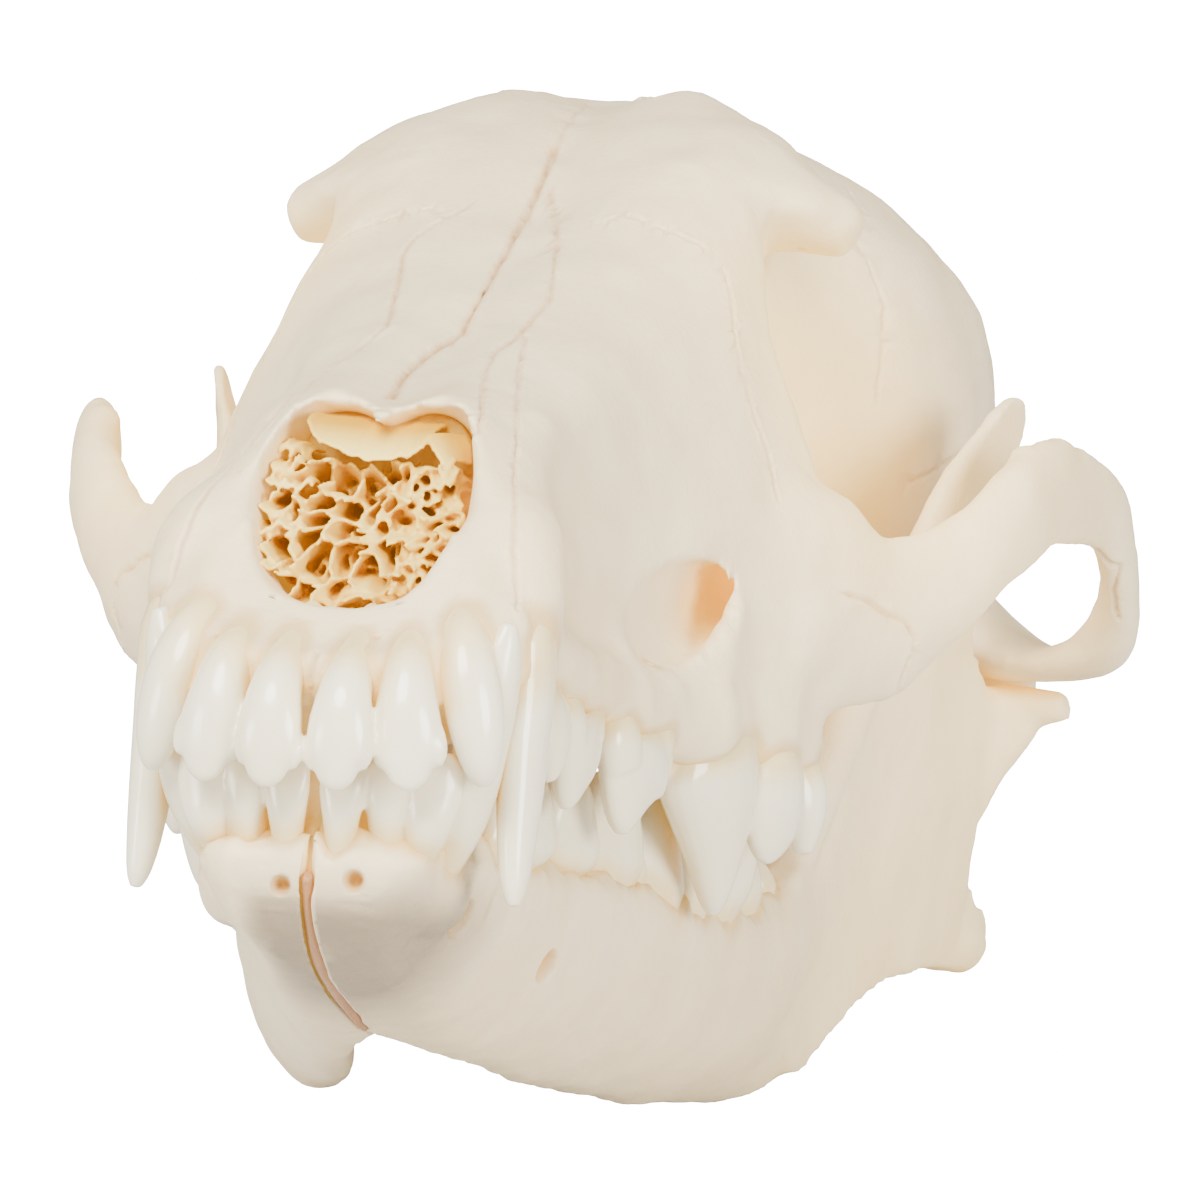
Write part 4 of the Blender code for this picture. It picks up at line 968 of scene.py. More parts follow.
# %% A tooth form from its stations
def add_tooth(bm, side, turn, rows):
    stations = smooth_open([Vector((side * row[0], *row[1:])) for row in rows], 4)
    centres = [Vector(station[:3]) for station in stations]
    rings = []
    for i, station in enumerate(stations):
        along = (centres[min(i + 1, len(centres) - 1)] - centres[max(i - 1, 0)]).normalized()
        row = Vector((side * math.cos(math.radians(turn)), math.sin(math.radians(turn)), 0))
        row = (row - along * row.dot(along)).normalized()
        out = along.cross(row)
        turns = [2 * math.pi * k / TOOTH_SIDES for k in range(TOOTH_SIDES)]
        wide, deep = max(station[3], 0.05), max(station[4], 0.05)
        rings.append([centres[i] + row * wide * math.cos(a) + out * deep * math.sin(a) for a in turns])
    add_loft(bm, rings)


def teeth_piece(name, table, sides, voxel, triangles):
    bm = bmesh.new()
    for side in sides:
        for turn, rows in table:
            add_tooth(bm, side, turn, rows)
    piece = fuse(as_object(name, bm), voxel, 4)
    return thin_out(piece, triangles)


teeth_upper = teeth_piece("teeth_upper", UPPER_FRONT + UPPER_CHEEK, (1, -1), 0.2, 150000)
teeth_lower = {
    side: teeth_piece(name, LOWER_ROW, (side,), 0.2, 70000)
    for side, name in ((1, "teeth_lower_left"), (-1, "teeth_lower_right"))
}
for piece in (teeth_upper, *teeth_lower.values()):
    skewed(piece, fades=piece is teeth_upper)
    print(piece.name, len(piece.data.polygons), "faces")

# %% [markdown]
# ## The lower jaw
#
# Each half of the jaw is a body that carries the teeth and a thin upright plate, the ramus, whose
# thick front edge runs up to the coronoid process behind the eye. The body is a loft of sections, the
# plate is an outline given a thickness, and the joint's knuckle is a short bar across its back edge.

# %% Sections of the lower jaw
JAW_SECTIONS = (
    (2.2, (0.6, -12), (5.2, -12), (5.9, -13.0), (5, -14.6), (3, -15.4), (0.7, -15), (0.5, -13.6)),
    (4.5, (0.5, -10.2), (7.4, -11.2), (7.8, -13.4), (6.2, -16), (4, -17.8), (0.6, -17.4), (0.4, -14.5)),
    (10, (0.5, -9.6), (9.0, -11), (8.6, -14), (6.0, -18), (3.6, -20.4), (0.6, -20.2), (0.4, -15.5)),
    (18, (0.5, -11), (9.6, -11.6), (9.5, -15), (6.8, -20), (3.6, -22.4), (0.6, -22.4), (0.4, -17)),
    (27, (1.2, -11.8), (10.3, -11.9), (10.7, -15.4), (7.8, -21.2), (4.4, -24.1), (0.8, -24.3), (0.8, -18)),
    (36, (4.4, -12.2), (12, -12.2), (12.5, -15.6), (9.7, -22.2), (5.8, -25.9), (2.6, -25.5), (3.2, -19)),
    (47, (7.4, -12.6), (14.2, -12.6), (15.0, -16), (12.2, -23.2), (8.2, -27.5), (5.2, -26.9), (6, -20)),
    (58, (9.8, -13.8), (16.4, -13.8), (17.2, -17), (14.8, -24.4), (10.8, -28.6), (7.4, -28.0), (8.2, -21)),
    (70, (12.2, -14.6), (18.6, -14.6), (19.6, -18), (17.4, -25.2), (13.4, -29.4), (9.9, -28.6), (10.8, -21)),
    (82, (15.4, -12.4), (20.8, -12.4), (22, -17), (20.0, -24.8), (16.4, -29.3), (13.4, -28.4), (14.4, -20)),
    (94, (18.6, -8), (22.6, -8), (23.4, -15), (21.4, -22.6), (19.2, -28.0), (16.6, -26.6), (17.2, -17)),
    (103, (21.0, -6), (24.2, -6), (24.4, -14), (22.2, -19.4), (20.4, -22.6), (19.0, -22.0), (19.8, -15)),
)
RAMUS_OUTLINE = (
    *((82, -14), (87.5, -8), (93, 4), (97.5, 15), (102, 23), (106, 27), (109.6, 28.4), (113, 27),
        (114.8, 21)),
    *((116, 13), (118.6, 8), (122, 6), (126, 5.2), (129, 4.0), (129.8, 1), (128.4, -4), (127.2, -9),
        (130, -12)),
    *((134, -13.6), (135, -16), (132.6, -18.2), (125, -18.2), (119, -18.4), (113, -19), (107, -20.4),
        (100, -23.6)),
    (92, -27),
)
RAMUS_HALF_THICKNESS = 1.6
CORONOID_EDGE = (
    (87, -10, 2.0),
    (92, 2, 2.2),
    (96.8, 12.6, 2.0),
    (101, 20.4, 1.8),
    (106, 25.2, 1.5),
    (110.6, 26.6, 1.2),
)
CONDYLE = (
    (25.6, 128, 2.2, 1.3, 1.6),
    (29, 127.4, 3.4, 1.8, 2.3),
    (33.4, 127, 3.9, 1.8, 2.3),
    (36.9, 126.7, 4.2, 1.3, 1.7),
)
CONDYLE_NECK = ((28.0, 126, -7, 1.4, 1.2), (30.2, 126.8, -2, 1.8, 1.5), (32.4, 127, 2.6, 2.0, 2.2))
LINGUAL_LEDGE = (
    (-1.5, 7.8, -9.4, 3.6, 1.6),
    (2.5, 7.8, -9.4, 3.6, 1.6),
    (6.0, 9.2, -9.3, 3.8, 1.6),
    (7.8, 13.5, -10.8, 2.6, 1.7),
    (8.8, 19, -12.2, 1.8, 1.6),
)
CANINE_SOCKET = ((6.9, 12.4, -14.0), (3.0, 5.0, 3.6), 0)
ANGULAR_TIP = ((28.2, 131.2, -15.9), (2.4, 4.2, 2.7), 0)
MASSETERIC_FOSSA = ((33.2, 111, 3), (5.4, 10, 12), 0)


# the plate's x and y at its front, and how it leans outwards along y, above one height and below another
RAMUS_START = (21.5, 90)
RAMUS_FLARE = 0.165
UPPER_FLARE = (0.25, -5)
LOWER_FLARE = (0.16, -14)


def ramus_x(y, z):
    """How far out the plate of the ramus stands at a place in its outline."""
    start_x, start_y = RAMUS_START
    level = start_x + RAMUS_FLARE * (y - start_y)
    level += UPPER_FLARE[0] * max(0.0, z - UPPER_FLARE[1])
    return level + LOWER_FLARE[0] * min(0.0, z - LOWER_FLARE[1])


def across_midline(x, y):
    """Inner points of the front sections go over the midline, where the halves are sawn apart."""
    return -2.0 if x < 1.3 and y < 28 else x


def add_mandible_parts(bm, side):
    rings = []
    for y, *section in JAW_SECTIONS:
        rings.append([Vector((side * across_midline(x, y), y, z)) for x, z in section])
    columns = [smooth_open(list(column), 3) for column in zip(*rings)]
    add_loft(bm, [smooth_closed(list(ring), 4) for ring in zip(*columns)])
    outline = smooth_closed([Vector(point) for point in RAMUS_OUTLINE], 3)
    rings = []
    for offset in (-RAMUS_HALF_THICKNESS, RAMUS_HALF_THICKNESS):
        rings.append([Vector((side * (ramus_x(p.x, p.y) + offset), p.x, p.y)) for p in outline])
    add_loft(bm, rings)
    add_bar(bm, [(ramus_x(y, z), y, z, half, half * 0.95) for y, z, half in CORONOID_EDGE], side)
    add_bar(bm, CONDYLE, side)
    add_bar(bm, CONDYLE_NECK, side, upright=(0, 1, 0))
    add_lump(bm, ANGULAR_TIP, side)
    add_bar(bm, LINGUAL_LEDGE, side)
    add_lump(bm, CANINE_SOCKET, side)


SYMPHYSIS_GROOVE = (
    (0, 2.0, -11.4, 0.8, 0.35),
    (0, 2.2, -13.8, 0.8, 0.5),
    (0, 3.8, -16.4, 0.8, 0.6),
    (0, 6.6, -18.6, 0.8, 0.7),
    (0, 10.4, -20.4, 0.8, 0.75),
    (0, 18, -22.5, 0.8, 0.7),
    (0, 26, -24.3, 0.8, 0.5),
)
STRIP_SINK = 0.25
STRIP_GAP = 0.12
SYMPHYSIS_STRIP = tuple(
    (x, y + STRIP_SINK, z + STRIP_SINK, high, wide - STRIP_GAP)
    for x, y, z, high, wide in SYMPHYSIS_GROOVE[1:]
)


# %% A thin coronoid process
CORONOID_FROM = 12
CORONOID_HEIGHT = 15
CORONOID_THINNING = 0.72


def thin_coronoid(bone, side):
    """Narrows the plate of the ramus towards its upper tip."""
    co = places_of(bone)
    for i in np.nonzero(co[:, 2] > CORONOID_FROM)[0]:
        x, y, z = co[i]
        middle = side * ramus_x(y, z)
        thinning = CORONOID_THINNING * min(1.0, (z - CORONOID_FROM) / CORONOID_HEIGHT)
        co[i, 0] = middle + (x - middle) * (1 - thinning)
    move_to(bone, co)


# %% Two halves of the lower jaw
MANDIBLE_VOXEL = 0.5
MANDIBLE_TRIANGLES = 90000
SAW_GAP = 0.15
OWN_SIDE_SIZE = (80, 180, 120)
FOSSA_SOFT = ((31, 111, 3), (9, 15, 17), 40)


def add_own_side(bm, side):
    """A block over one half of the jaw, which stands off the midline by half a saw cut."""
    wide, long, high = OWN_SIDE_SIZE
    middle = Matrix.Translation((side * (wide / 2 + SAW_GAP), 70, 0))
    bmesh.ops.create_cube(bm, size=1, matrix=middle @ Matrix.Diagonal((wide, long, high, 1)))


mandibles = {}
for side, name in ((1, "mandible_bone_left"), (-1, "mandible_bone_right")):
    bone = fuse(formed(name, add_mandible_parts, side), MANDIBLE_VOXEL, 8)
    cut(bone, formed("fossa", add_lump, MASSETERIC_FOSSA, side))
    cut(bone, formed("own_side", add_own_side, side), "INTERSECT")
    cut(bone, formed("groove", add_bar, SYMPHYSIS_GROOVE))
    mandibles[side] = thin_out(bone, MANDIBLE_TRIANGLES)
    thin_coronoid(bone, side)
    (x, y, z), reach, rounds = FOSSA_SOFT
    soften(bone, (side * x, y, z), reach, rounds)
    skewed(bone, fades=False)
    print(name, len(bone.data.polygons), "faces")


# %% [markdown]
# ## Relief of the lower jaw
#
# Small openings for nerves and vessels pierce the outer face below the first teeth. Each is a short
# dent whose floor is darkened with painted shade. The rim round the teeth is thin and broken, so its edge is
# pushed up and down by a noise that fades out away from the teeth.

# %% How near each place is to the teeth
def nearest_gap(piece, other, reach):
    """Distance from every vertex to the nearest vertex of the other piece, up to a reach."""
    tree = KDTree(len(other.data.vertices))
    for i, place in enumerate(places_of(other)):
        tree.insert(place, i)
    tree.balance()
    return np.array([min(reach, tree.find(place)[2]) for place in places_of(piece)])


# %% Nerve openings with painted shade, broken rims and painted shade on the chin
def ragged_rim(piece, teeth, reach, height):
    """Pushes the rim near the teeth up or down by a noise."""
    gaps = nearest_gap(piece, teeth, reach)
    co = places_of(piece)
    for i in np.nonzero(gaps < reach)[0]:
        share = (1 - gaps[i] / reach) ** 1.5
        x, y, z = co[i]
        push = noise.noise(Vector((x * 0.5, y * 0.5, 2.3)))
        push += 0.35 * noise.noise(Vector((x * 1.1, y * 1.1, 5.1)))
        co[i, 2] += height * share * push
    move_to(piece, co)


MENTAL_OPENINGS = (
    # px, py in the photograph, radius and depth in millimetres
    (463, 921, 1.25, 3.2),
    (549, 968, 1.0, 2.6),
    (353, 881, 0.6, 1.6),
    (280, 886, 0.55, 1.5),
)
# the same openings on the half that the photograph hides, in millimetres
HIDDEN_OPENINGS = (((-9.2, 26, -16), 1.35, 2.6), ((-11.6, 38, -19.3), 1.05, 2.0))
RIM_REACH = 3.0
RIM_HEIGHT = 1.3
CHIN_GROOVES = 0.11
LOWER_EDGE_ROUGHNESS = 0.16


def nerve_openings(bone, side):
    """The nerve openings' places on one half of the jaw, with their radius and depth."""
    tree = tree_of(bone)
    openings = []
    for px, py, radius, depth in MENTAL_OPENINGS:
        found = traced(tree, ((px, py),))
        if found:
            openings.append((np.array(found[0]), radius, depth))
    if side == -1:
        openings += [(np.array(place), radius, depth) for place, radius, depth in HIDDEN_OPENINGS]
    return openings


def chin_share(co, no):
    """Where the chin gets painted shade over its own grey: low down, in front, and not on the far side,
    which is lit.
    """
    front = np.clip((26 - co[:, 1]) / 12, 0, 1) * np.clip((-12.5 - co[:, 2]) / 4, 0, 1)
    return front * np.clip((no[:, 0] + 0.55) / 0.5, 0, 1)


def lower_edge_share(co):
    """Where the rough lower edge of the jaw's front half is."""
    return np.exp(-(((co[:, 2] + 27.5) / 2.5) ** 2)) * np.clip((70 - co[:, 1]) / 60, 0, 1)


for side, bone in mandibles.items():
    ragged_rim(bone, teeth_lower[side], RIM_REACH, RIM_HEIGHT)
    openings = nerve_openings(bone, side)
    for longest in (0.5, 0.25):
        refine_near(bone, [place[None, :] for place, _, _ in openings], 2.2, longest)
    co, no = places_of(bone), normals_of(bone)
    stain_and_shade = np.zeros(len(co))
    # painted shade: the floor of each nerve opening is darkened
    for place, radius, depth in openings:
        share = np.exp(-((np.linalg.norm(co - place, axis=1) / radius) ** 4))
        co -= no * (share * depth)[:, None]
        stain_and_shade = np.maximum(stain_and_shade, share)
    # painted shade on the chin's down-facing front, over its own grey; the same mask places the chin's fine
    # grooves
    front = chin_share(co, no)
    ridges = np.array([noise.noise(Vector((x * 0.25, y * 0.5, z * 2.6))) for x, y, z in co])
    co += no * (ridges * CHIN_GROOVES * front)[:, None]
    rough = np.array([noise.noise(Vector((x * 0.9, y * 0.9, z * 0.9))) for x, y, z in co])
    co += no * (rough * LOWER_EDGE_ROUGHNESS * lower_edge_share(co))[:, None]
    move_to(bone, co)
    store(bone, "seam_and_shade", stain_and_shade)
    store(bone, "chin_grey_and_shade", front)
    print(bone.name, "nerve openings:", len(openings))

# %% [markdown]
# ## The seam of the chin
#
# The two halves meet in a seam of dried tissue, darker than bone and a little sunk. It is a thin strip
# along the groove that was cut into both halves.

# %% The tissue between the halves
STRIP_VOXEL = 0.2
symphysis = fuse(formed("symphysis", add_bar, SYMPHYSIS_STRIP), STRIP_VOXEL, 2)
print("tissue strip:", len(symphysis.data.polygons), "faces")

# %% [markdown]
# ## Inside the nose
#
# The back of the nose is filled with paper-thin bone, folded like a honeycomb. Seen from the front it
# is a net of pale, ragged edges over deep amber cells. The net here is a Voronoi diagram: the walls stand
# midway between seeded points, found from the circles through every three neighbouring points. Each
# wall runs back into the nose, bends on the way, and gets its thickness from the Solidify modifier.

# %% Walls midway between seeded points
dice = random.Random(11)
SCROLLS_FROM = 16
ROW_PITCH = 0.9
LONGEST_WALL = 2.2


def inside_nose(place, size):
    """Whether a place lies within the opening's outline, resized about its middle."""
    outline = nasal_shape(size)
    hit = False
    for a, b in zip(outline, outline[1:] + outline[:1]):
        crosses = (a.y > place.y) != (b.y > place.y)
        if crosses and place.x < (b.x - a.x) * (place.y - a.y) / (b.y - a.y) + a.x:
            hit = not hit
    return hit


def circle_middle(p, q, r):
    """Middle of the circle through three points."""
    d = 2 * (p.x * (q.y - r.y) + q.x * (r.y - p.y) + r.x * (p.y - q.y))
    pp, qq, rr = p.length_squared, q.length_squared, r.length_squared
    x = pp * (q.y - r.y) + qq * (r.y - p.y) + rr * (p.y - q.y)
    z = pp * (r.x - q.x) + qq * (p.x - r.x) + rr * (q.x - p.x)
    return Vector((x / d, z / d))


def cell_walls(pitch, scatter, size):
    """Lines between neighbouring cells of a given pitch, inside the nose and below its scrolls."""
    count = int(10 / pitch) + 1
    points = []
    for i in range(-count, count + 1):
        for j in range(-count, count + 1):
            x = pitch * (i + 0.5 * (j % 2)) + dice.uniform(-scatter, scatter)
            z = NASAL_MIDDLE.y + pitch * ROW_PITCH * j + dice.uniform(-scatter, scatter)
            points.append(Vector((x, z)))
    middles, shared = [], {}
    for index, corners in enumerate(delaunay_2d_cdt(points, [], [], 0, 1e-5)[2]):
        middles.append(circle_middle(*(points[c] for c in corners)))
        for k in range(3):
            shared.setdefault(frozenset((corners[k], corners[k - 1])), []).append(index)
    lines = [(middles[pair[0]], middles[pair[1]]) for pair in shared.values() if len(pair) == 2]
    lines = [(a, b) for a, b in lines if (a - b).length < LONGEST_WALL * pitch]
    return [(a, b) for a, b in lines if a.y + b.y < 2 * SCROLLS_FROM and inside_nose((a + b) / 2, size)]


# %% Sheets of bone with ragged front edges
WALL_STEP = 0.3
WALL_DEPTHS = 10
NARROWING = 0.012


def bent(place, y, wave):
    """A wall drifts from side to side as it runs back, and the whole net narrows."""
    size = 1.0 - NARROWING * (y - NASAL_RISE_FROM)
    drift = noise.noise_vector(Vector((place.x * 0.24, y * 0.2, place.y * 0.24))) * wave
    drift += noise.noise_vector(Vector((place.x * 0.9, y * 0.6, place.y * 0.9))) * wave * 0.3
    z = NASAL_MIDDLE.y + (place.y - NASAL_MIDDLE.y) * size + nasal_lift(y)
    return Vector((place.x * size + drift.x, y, z + drift.z))


def ragged_edge(place):
    """How far forward or back the broken front edge lies at a place."""
    coarse = noise.noise(Vector((place.x * 1.3, 3.1, place.y * 1.3))) * 2.2
    fine = noise.noise(Vector((place.x * 4.5, 8.3, place.y * 4.5))) * 1.3
    return coarse + fine + dice.uniform(-0.25, 0.25)


def add_sheet(bm, rows):
    for near, far in zip(rows, rows[1:]):
        for t in range(len(near) - 1):
            bm.faces.new((near[t], near[t + 1], far[t + 1], far[t]))


def add_wall(bm, a, b, front, back, wave):
    steps = max(2, round((b - a).length / WALL_STEP))
    rows = []
    for k in range(steps + 1):
        place = a.lerp(b, k / steps)
        start = front(place) + ragged_edge(place)
        depths = [start + (back - start) * (t / (WALL_DEPTHS - 1)) ** 1.3 for t in range(WALL_DEPTHS)]
        rows.append([bm.verts.new(bent(place, y, wave)) for y in depths])
    add_sheet(bm, rows)


def add_scroll(bm, near, far, swell, rag=0.35):
    """A curved sheet from its front edge to its back edge, swollen along a direction."""
    near, far = smooth_open(near, 6), smooth_open(far, 6)
    rows = []
    for a, b in zip(near, far):
        rows.append([])
        for t in range(WALL_DEPTHS):
            share = t / (WALL_DEPTHS - 1)
            place = a.lerp(b, share) + Vector(swell) * math.sin(math.pi * min(1.0, share + 0.12))
            place.z += (1 - share) * rag * noise.noise(Vector((a.x * 2.6, 1.7, a.z * 2.6)))
            rows[-1].append(bm.verts.new(place))
    add_sheet(bm, rows)


# %% The two nets, the scrolls and the floor
def opening_plane(z):
    """Where the slanting rim of the nose's opening lies at a height."""
    return 4.7 + 0.91 * (z - 5.6)


def coarse_front(place):
    return opening_plane(place.y) + 4.6 - 1.8 * min(1.0, abs(place.x + 0.6) / 6.2)


def fine_front(place):
    return opening_plane(place.y) + 7.2 - 4.2 * max(0.0, min(1.0, (place.x - 1.8) / 2.4))


# each scroll's front edge, its back edge, and how it swells between them
DORSAL_SCROLL = (
    ((-5.3, 17, 19), (-4.2, 16.8, 17.6), (-2, 16.6, 16.8), (0.2, 16.6, 16.4), (2.2, 16.9, 16.8),
        (3.4, 17.6, 17.6)),
    ((-5.4, 23, 20.0), (-3.8, 24, 20.6), (-1.4, 24, 20.8), (0.6, 24, 20.6), (2.6, 24, 20.6), (4.4, 23, 20)),
    (0, -1.0, 0.4),
)
LEFT_SCROLL = (
    ((3.4, 18, 18.4), (4.0, 17.6, 17.3), (5.0, 17.2, 16.6)),
    ((5.6, 21, 19.0), (6.2, 20.5, 18.0), (6.4, 20, 16.8)),
    (0, -0.4, 0.2),
)
VOMER = (
    ((-1.4, 11.6, 5.6), (0.2, 10.6, 6.6), (2.2, 10.2, 6.3), (4.4, 10.8, 5.7)),
    ((-2.4, 20, 7.8), (-0.4, 20, 9.2), (1.6, 20, 8.6), (3.6, 20, 7.2)),
    (0, 0, 0.5),
)
RIGHT_LEAVES = (7.6, 9.2, 10.6, 12.2, 13.9, 15.5, 17.0)

# each net's pitch, scatter, size beside the opening, front, back and waviness
NETS = ((2.0, 0.8, 0.95, coarse_front, 24.5, 1.5), (1.1, 0.42, 0.97, fine_front, 24.0, 1.2))
SHEET_THICKNESS = 0.26
SHEET_VOXEL = 0.15
TURBINATE_TRIANGLES = 150000
BACK_WALL = ((21.5, 0.9), (23.5, 0.9), (25.2, 0.86))

bm = bmesh.new()
for pitch, scatter, size, front, back, wave in NETS:
    for a, b in cell_walls(pitch, scatter, size):
        add_wall(bm, a, b, front, back, wave)
for scroll in (DORSAL_SCROLL, LEFT_SCROLL, VOMER):
    near, far, swell = scroll
    add_scroll(bm, [Vector(p) for p in near], [Vector(p) for p in far], swell)
for z in RIGHT_LEAVES:
    reach = dice.uniform(1.6, 3.0)
    drop = dice.uniform(-1.1, 0.9)
    start = opening_plane(z) + 2.6
    near = [
        Vector((-7.6, start - 0.6, z)),
        Vector((-7.4 + reach * 0.5, start, z + drop * 0.3)),
        Vector((-7.2 + reach, start + 1, z + drop)),
    ]
    far = [Vector((-7.2, 21, z + 0.8)), Vector((-5.8, 21, z + 0.6)), Vector((-4.6, 21, z + drop + 0.4))]
    add_scroll(bm, near, far, (0, -0.3, 0.4), 1.2)
bmesh.ops.remove_doubles(bm, verts=bm.verts, dist=0.02)
net = as_object("turbinates", bm)
thicken = net.modifiers.new("thicken", "SOLIDIFY")
thicken.thickness = SHEET_THICKNESS
thicken.offset = 0
apply_modifiers(net)

# %% The back wall, and one skin
bm = bmesh.new()
bm.from_mesh(net.data)
add_loft(bm, [nasal_ring(y, size) for y, size in BACK_WALL])
bpy.data.objects.remove(net, do_unlink=True)
turbinates = fuse(as_object("turbinates", bm), SHEET_VOXEL, 1)
thin_out(turbinates, TURBINATE_TRIANGLES)
print("turbinates:", len(turbinates.data.polygons), "faces")

# %% [markdown]
# ## How open each place is
#
# Dry bone is a little see-through, so light that gets into a narrow place comes back warm. The finishes
# paint that light and the shade of narrow places into the colour, as amber and as a glow, so they need to
# know how narrow a place is. From every third vertex a few rays go out over its surface. The nearer they hit
# something, the less open the place is. The vertices between take the average of their neighbours, which
# also smooths the result.

# %% Rays from the surface
pieces = [cranium, teeth_upper, turbinates, *mandibles.values(), *teeth_lower.values(), symphysis]
RAY_REACH = 17.0
RAY_COUNT = 12
RAY_LIFT = 0.12
ray_fan = []
for k in range(RAY_COUNT):
    lift = math.sqrt((k + 0.5) / RAY_COUNT)
    turn = k * math.pi * (3 - math.sqrt(5))
    flat = math.sqrt(1 - lift * lift)
    ray_fan.append(Vector((flat * math.cos(turn), flat * math.sin(turn), lift)))

bm = bmesh.new()
for piece in pieces:
    bm.from_mesh(piece.data)
all_tree = BVHTree.FromBMesh(bm)
bm.free()


def openness(piece, every=3):
    co, no = places_of(piece), normals_of(piece)
    value = np.zeros(len(co))
    known = np.zeros(len(co))
    for i in range(0, len(co), every):
        normal = Vector(no[i])
        start = Vector(co[i]) + normal * RAY_LIFT
        turn = normal.to_track_quat("Z", "Y")
        shut = 0.0
        for ray in ray_fan:
            length = all_tree.ray_cast(start, turn @ ray, RAY_REACH)[3]
            if length is not None:
                shut += 1 - length / RAY_REACH
        value[i] = 1 - shut / RAY_COUNT
        known[i] = 1
    a, b = edges_of(piece)
    for _ in range(4):
        total = value * known
        weight = known.copy()
        for near, far in ((a, b), (b, a)):
            total += np.bincount(near, (value * known)[far], len(co))
            weight += np.bincount(near, known[far], len(co))
        value = total / np.maximum(weight, 1e-6)
        known = (weight > 0).astype(float)
    return value


for piece in pieces:
    store(piece, "open", openness(piece))
print("openness measured on", len(pieces), "pieces")

# %% The gum line
TOOTH_GUM = 4.0
BONE_GUM = 2.0
for teeth, bone in ((teeth_upper, cranium), *((teeth_lower[side], mandibles[side]) for side in (1, -1))):
    store(teeth, "gum", 1 - nearest_gap(teeth, bone, TOOTH_GUM) / TOOTH_GUM)
    store(bone, "gum", 1 - nearest_gap(bone, teeth, BONE_GUM) / BONE_GUM)

# %% Painted glow on thin walls, and painted shade in the nose
# a painted glow stands for the light that comes through the walls of the orbits and through the back of the
# lower jaw's plates
ORBIT_MIDDLE = np.array((23.5, 87, 24))
ORBIT_REACH = np.array((15, 24, 16))
PLATE_GLOW = 0.35
co = places_of(cranium)
co[:, 0] = np.abs(co[:, 0])
store(cranium, "thin_wall_glow", np.exp(-(((co - ORBIT_MIDDLE) / ORBIT_REACH) ** 4).sum(1)))
for bone in mandibles.values():
    store(bone, "thin_wall_glow", PLATE_GLOW * np.clip((places_of(bone)[:, 1] - 86) / 16, 0, 1))
# inside the nose a painted shade deepens upwards and backwards
co = places_of(turbinates)
stain_and_shade = np.clip((co[:, 2] - 17.0) / 2.6, 0, 0.85) + 0.5 * np.clip((co[:, 1] - 17) / 6, 0, 1)
store(turbinates, "seam_and_shade", stain_and_shade)
for piece in pieces:
    for name in ("seam_and_shade", "gum", "chin_grey_and_shade", "thin_wall_glow"):
        if name not in piece.data.attributes:
            store(piece, name, np.zeros(len(piece.data.vertices)))

# %% [markdown]
# ## Finishes
#
# The bone is a warm white with faint, broad patches and a fine grain. Narrow places get painted shade
# in amber and a painted glow, and sutures are tan. Teeth are whiter and glossier, and yellow at the neck.
# One node group holds the patches and the grain, and each finish uses it.

# %% Node helpers
def new_group(name, inputs, outputs):
    group = bpy.data.node_groups.new(name, "ShaderNodeTree")
    for socket, kind, value in inputs:
        made = group.interface.new_socket(socket, in_out="INPUT", socket_type=kind)
        made.default_value = value
    for socket, kind in outputs:
        group.interface.new_socket(socket, in_out="OUTPUT", socket_type=kind)
    return group, group.nodes.new("NodeGroupInput"), group.nodes.new("NodeGroupOutput")


def add_noise(tree, source, scale, detail=3, roughness=0.5, distortion=0.0):
    node = tree.nodes.new("ShaderNodeTexNoise")
    node.inputs["Scale"].default_value = scale
    node.inputs["Detail"].default_value = detail
    node.inputs["Roughness"].default_value = roughness
    node.inputs["Distortion"].default_value = distortion
    tree.links.new(source, node.inputs["Vector"])
    return node.outputs["Fac"]


def add_range(tree, source, low, high, to_low=0.0, to_high=1.0):
    node = tree.nodes.new("ShaderNodeMapRange")
    node.interpolation_type = "SMOOTHSTEP"
    for name, value in (("From Min", low), ("From Max", high), ("To Min", to_low), ("To Max", to_high)):
        node.inputs[name].default_value = value
    tree.links.new(source, node.inputs["Value"])
    return node.outputs["Result"]


def add_math(tree, operation, a, b):
    node = tree.nodes.new("ShaderNodeMath")
    node.operation = operation
    for socket, value in zip(node.inputs, (a, b)):
        if isinstance(value, (int, float)):
            socket.default_value = value
        else:
            tree.links.new(value, socket)
    return node.outputs["Value"]


def add_mix(tree, share, a, b, blend="MIX"):
    node = tree.nodes.new("ShaderNodeMix")
    node.data_type = "RGBA"
    node.blend_type = blend
    for socket, value in ((node.inputs["Factor"], share), (node.inputs["A"], a), (node.inputs["B"], b)):
        if isinstance(value, tuple):
            socket.default_value = (*value, 1)
        elif isinstance(value, (int, float)):
            socket.default_value = value
        else:
            tree.links.new(value, socket)
    return node.outputs["Result"]


def attribute(tree, name):
    node = tree.nodes.new("ShaderNodeAttribute")
    node.attribute_name = name
    return node.outputs["Fac"]


# %% Patches and grain, shared
grain, grain_in, grain_out = new_group(
    "grain",
    (("Grain Size", "NodeSocketFloat", 900.0), ("Streaks", "NodeSocketFloat", 0.3)),
    (("Patches", "NodeSocketFloat"), ("Height", "NodeSocketFloat")),
)
place = grain.nodes.new("ShaderNodeTexCoord").outputs["Object"]
broad = add_noise(grain, place, 45, 3, 0.55, 0.4)
middle = add_noise(grain, place, 210, 3, 0.6)
patches = add_math(grain, "ADD", broad, add_math(grain, "MULTIPLY", middle, 0.45))
grain.links.new(add_range(grain, patches, 0.45, 1.05), grain_out.inputs["Patches"])
fine = grain.nodes.new("ShaderNodeTexNoise")
fine.inputs["Detail"].default_value = 5
fine.inputs["Roughness"].default_value = 0.65
grain.links.new(place, fine.inputs["Vector"])
grain.links.new(grain_in.outputs["Grain Size"], fine.inputs["Scale"])
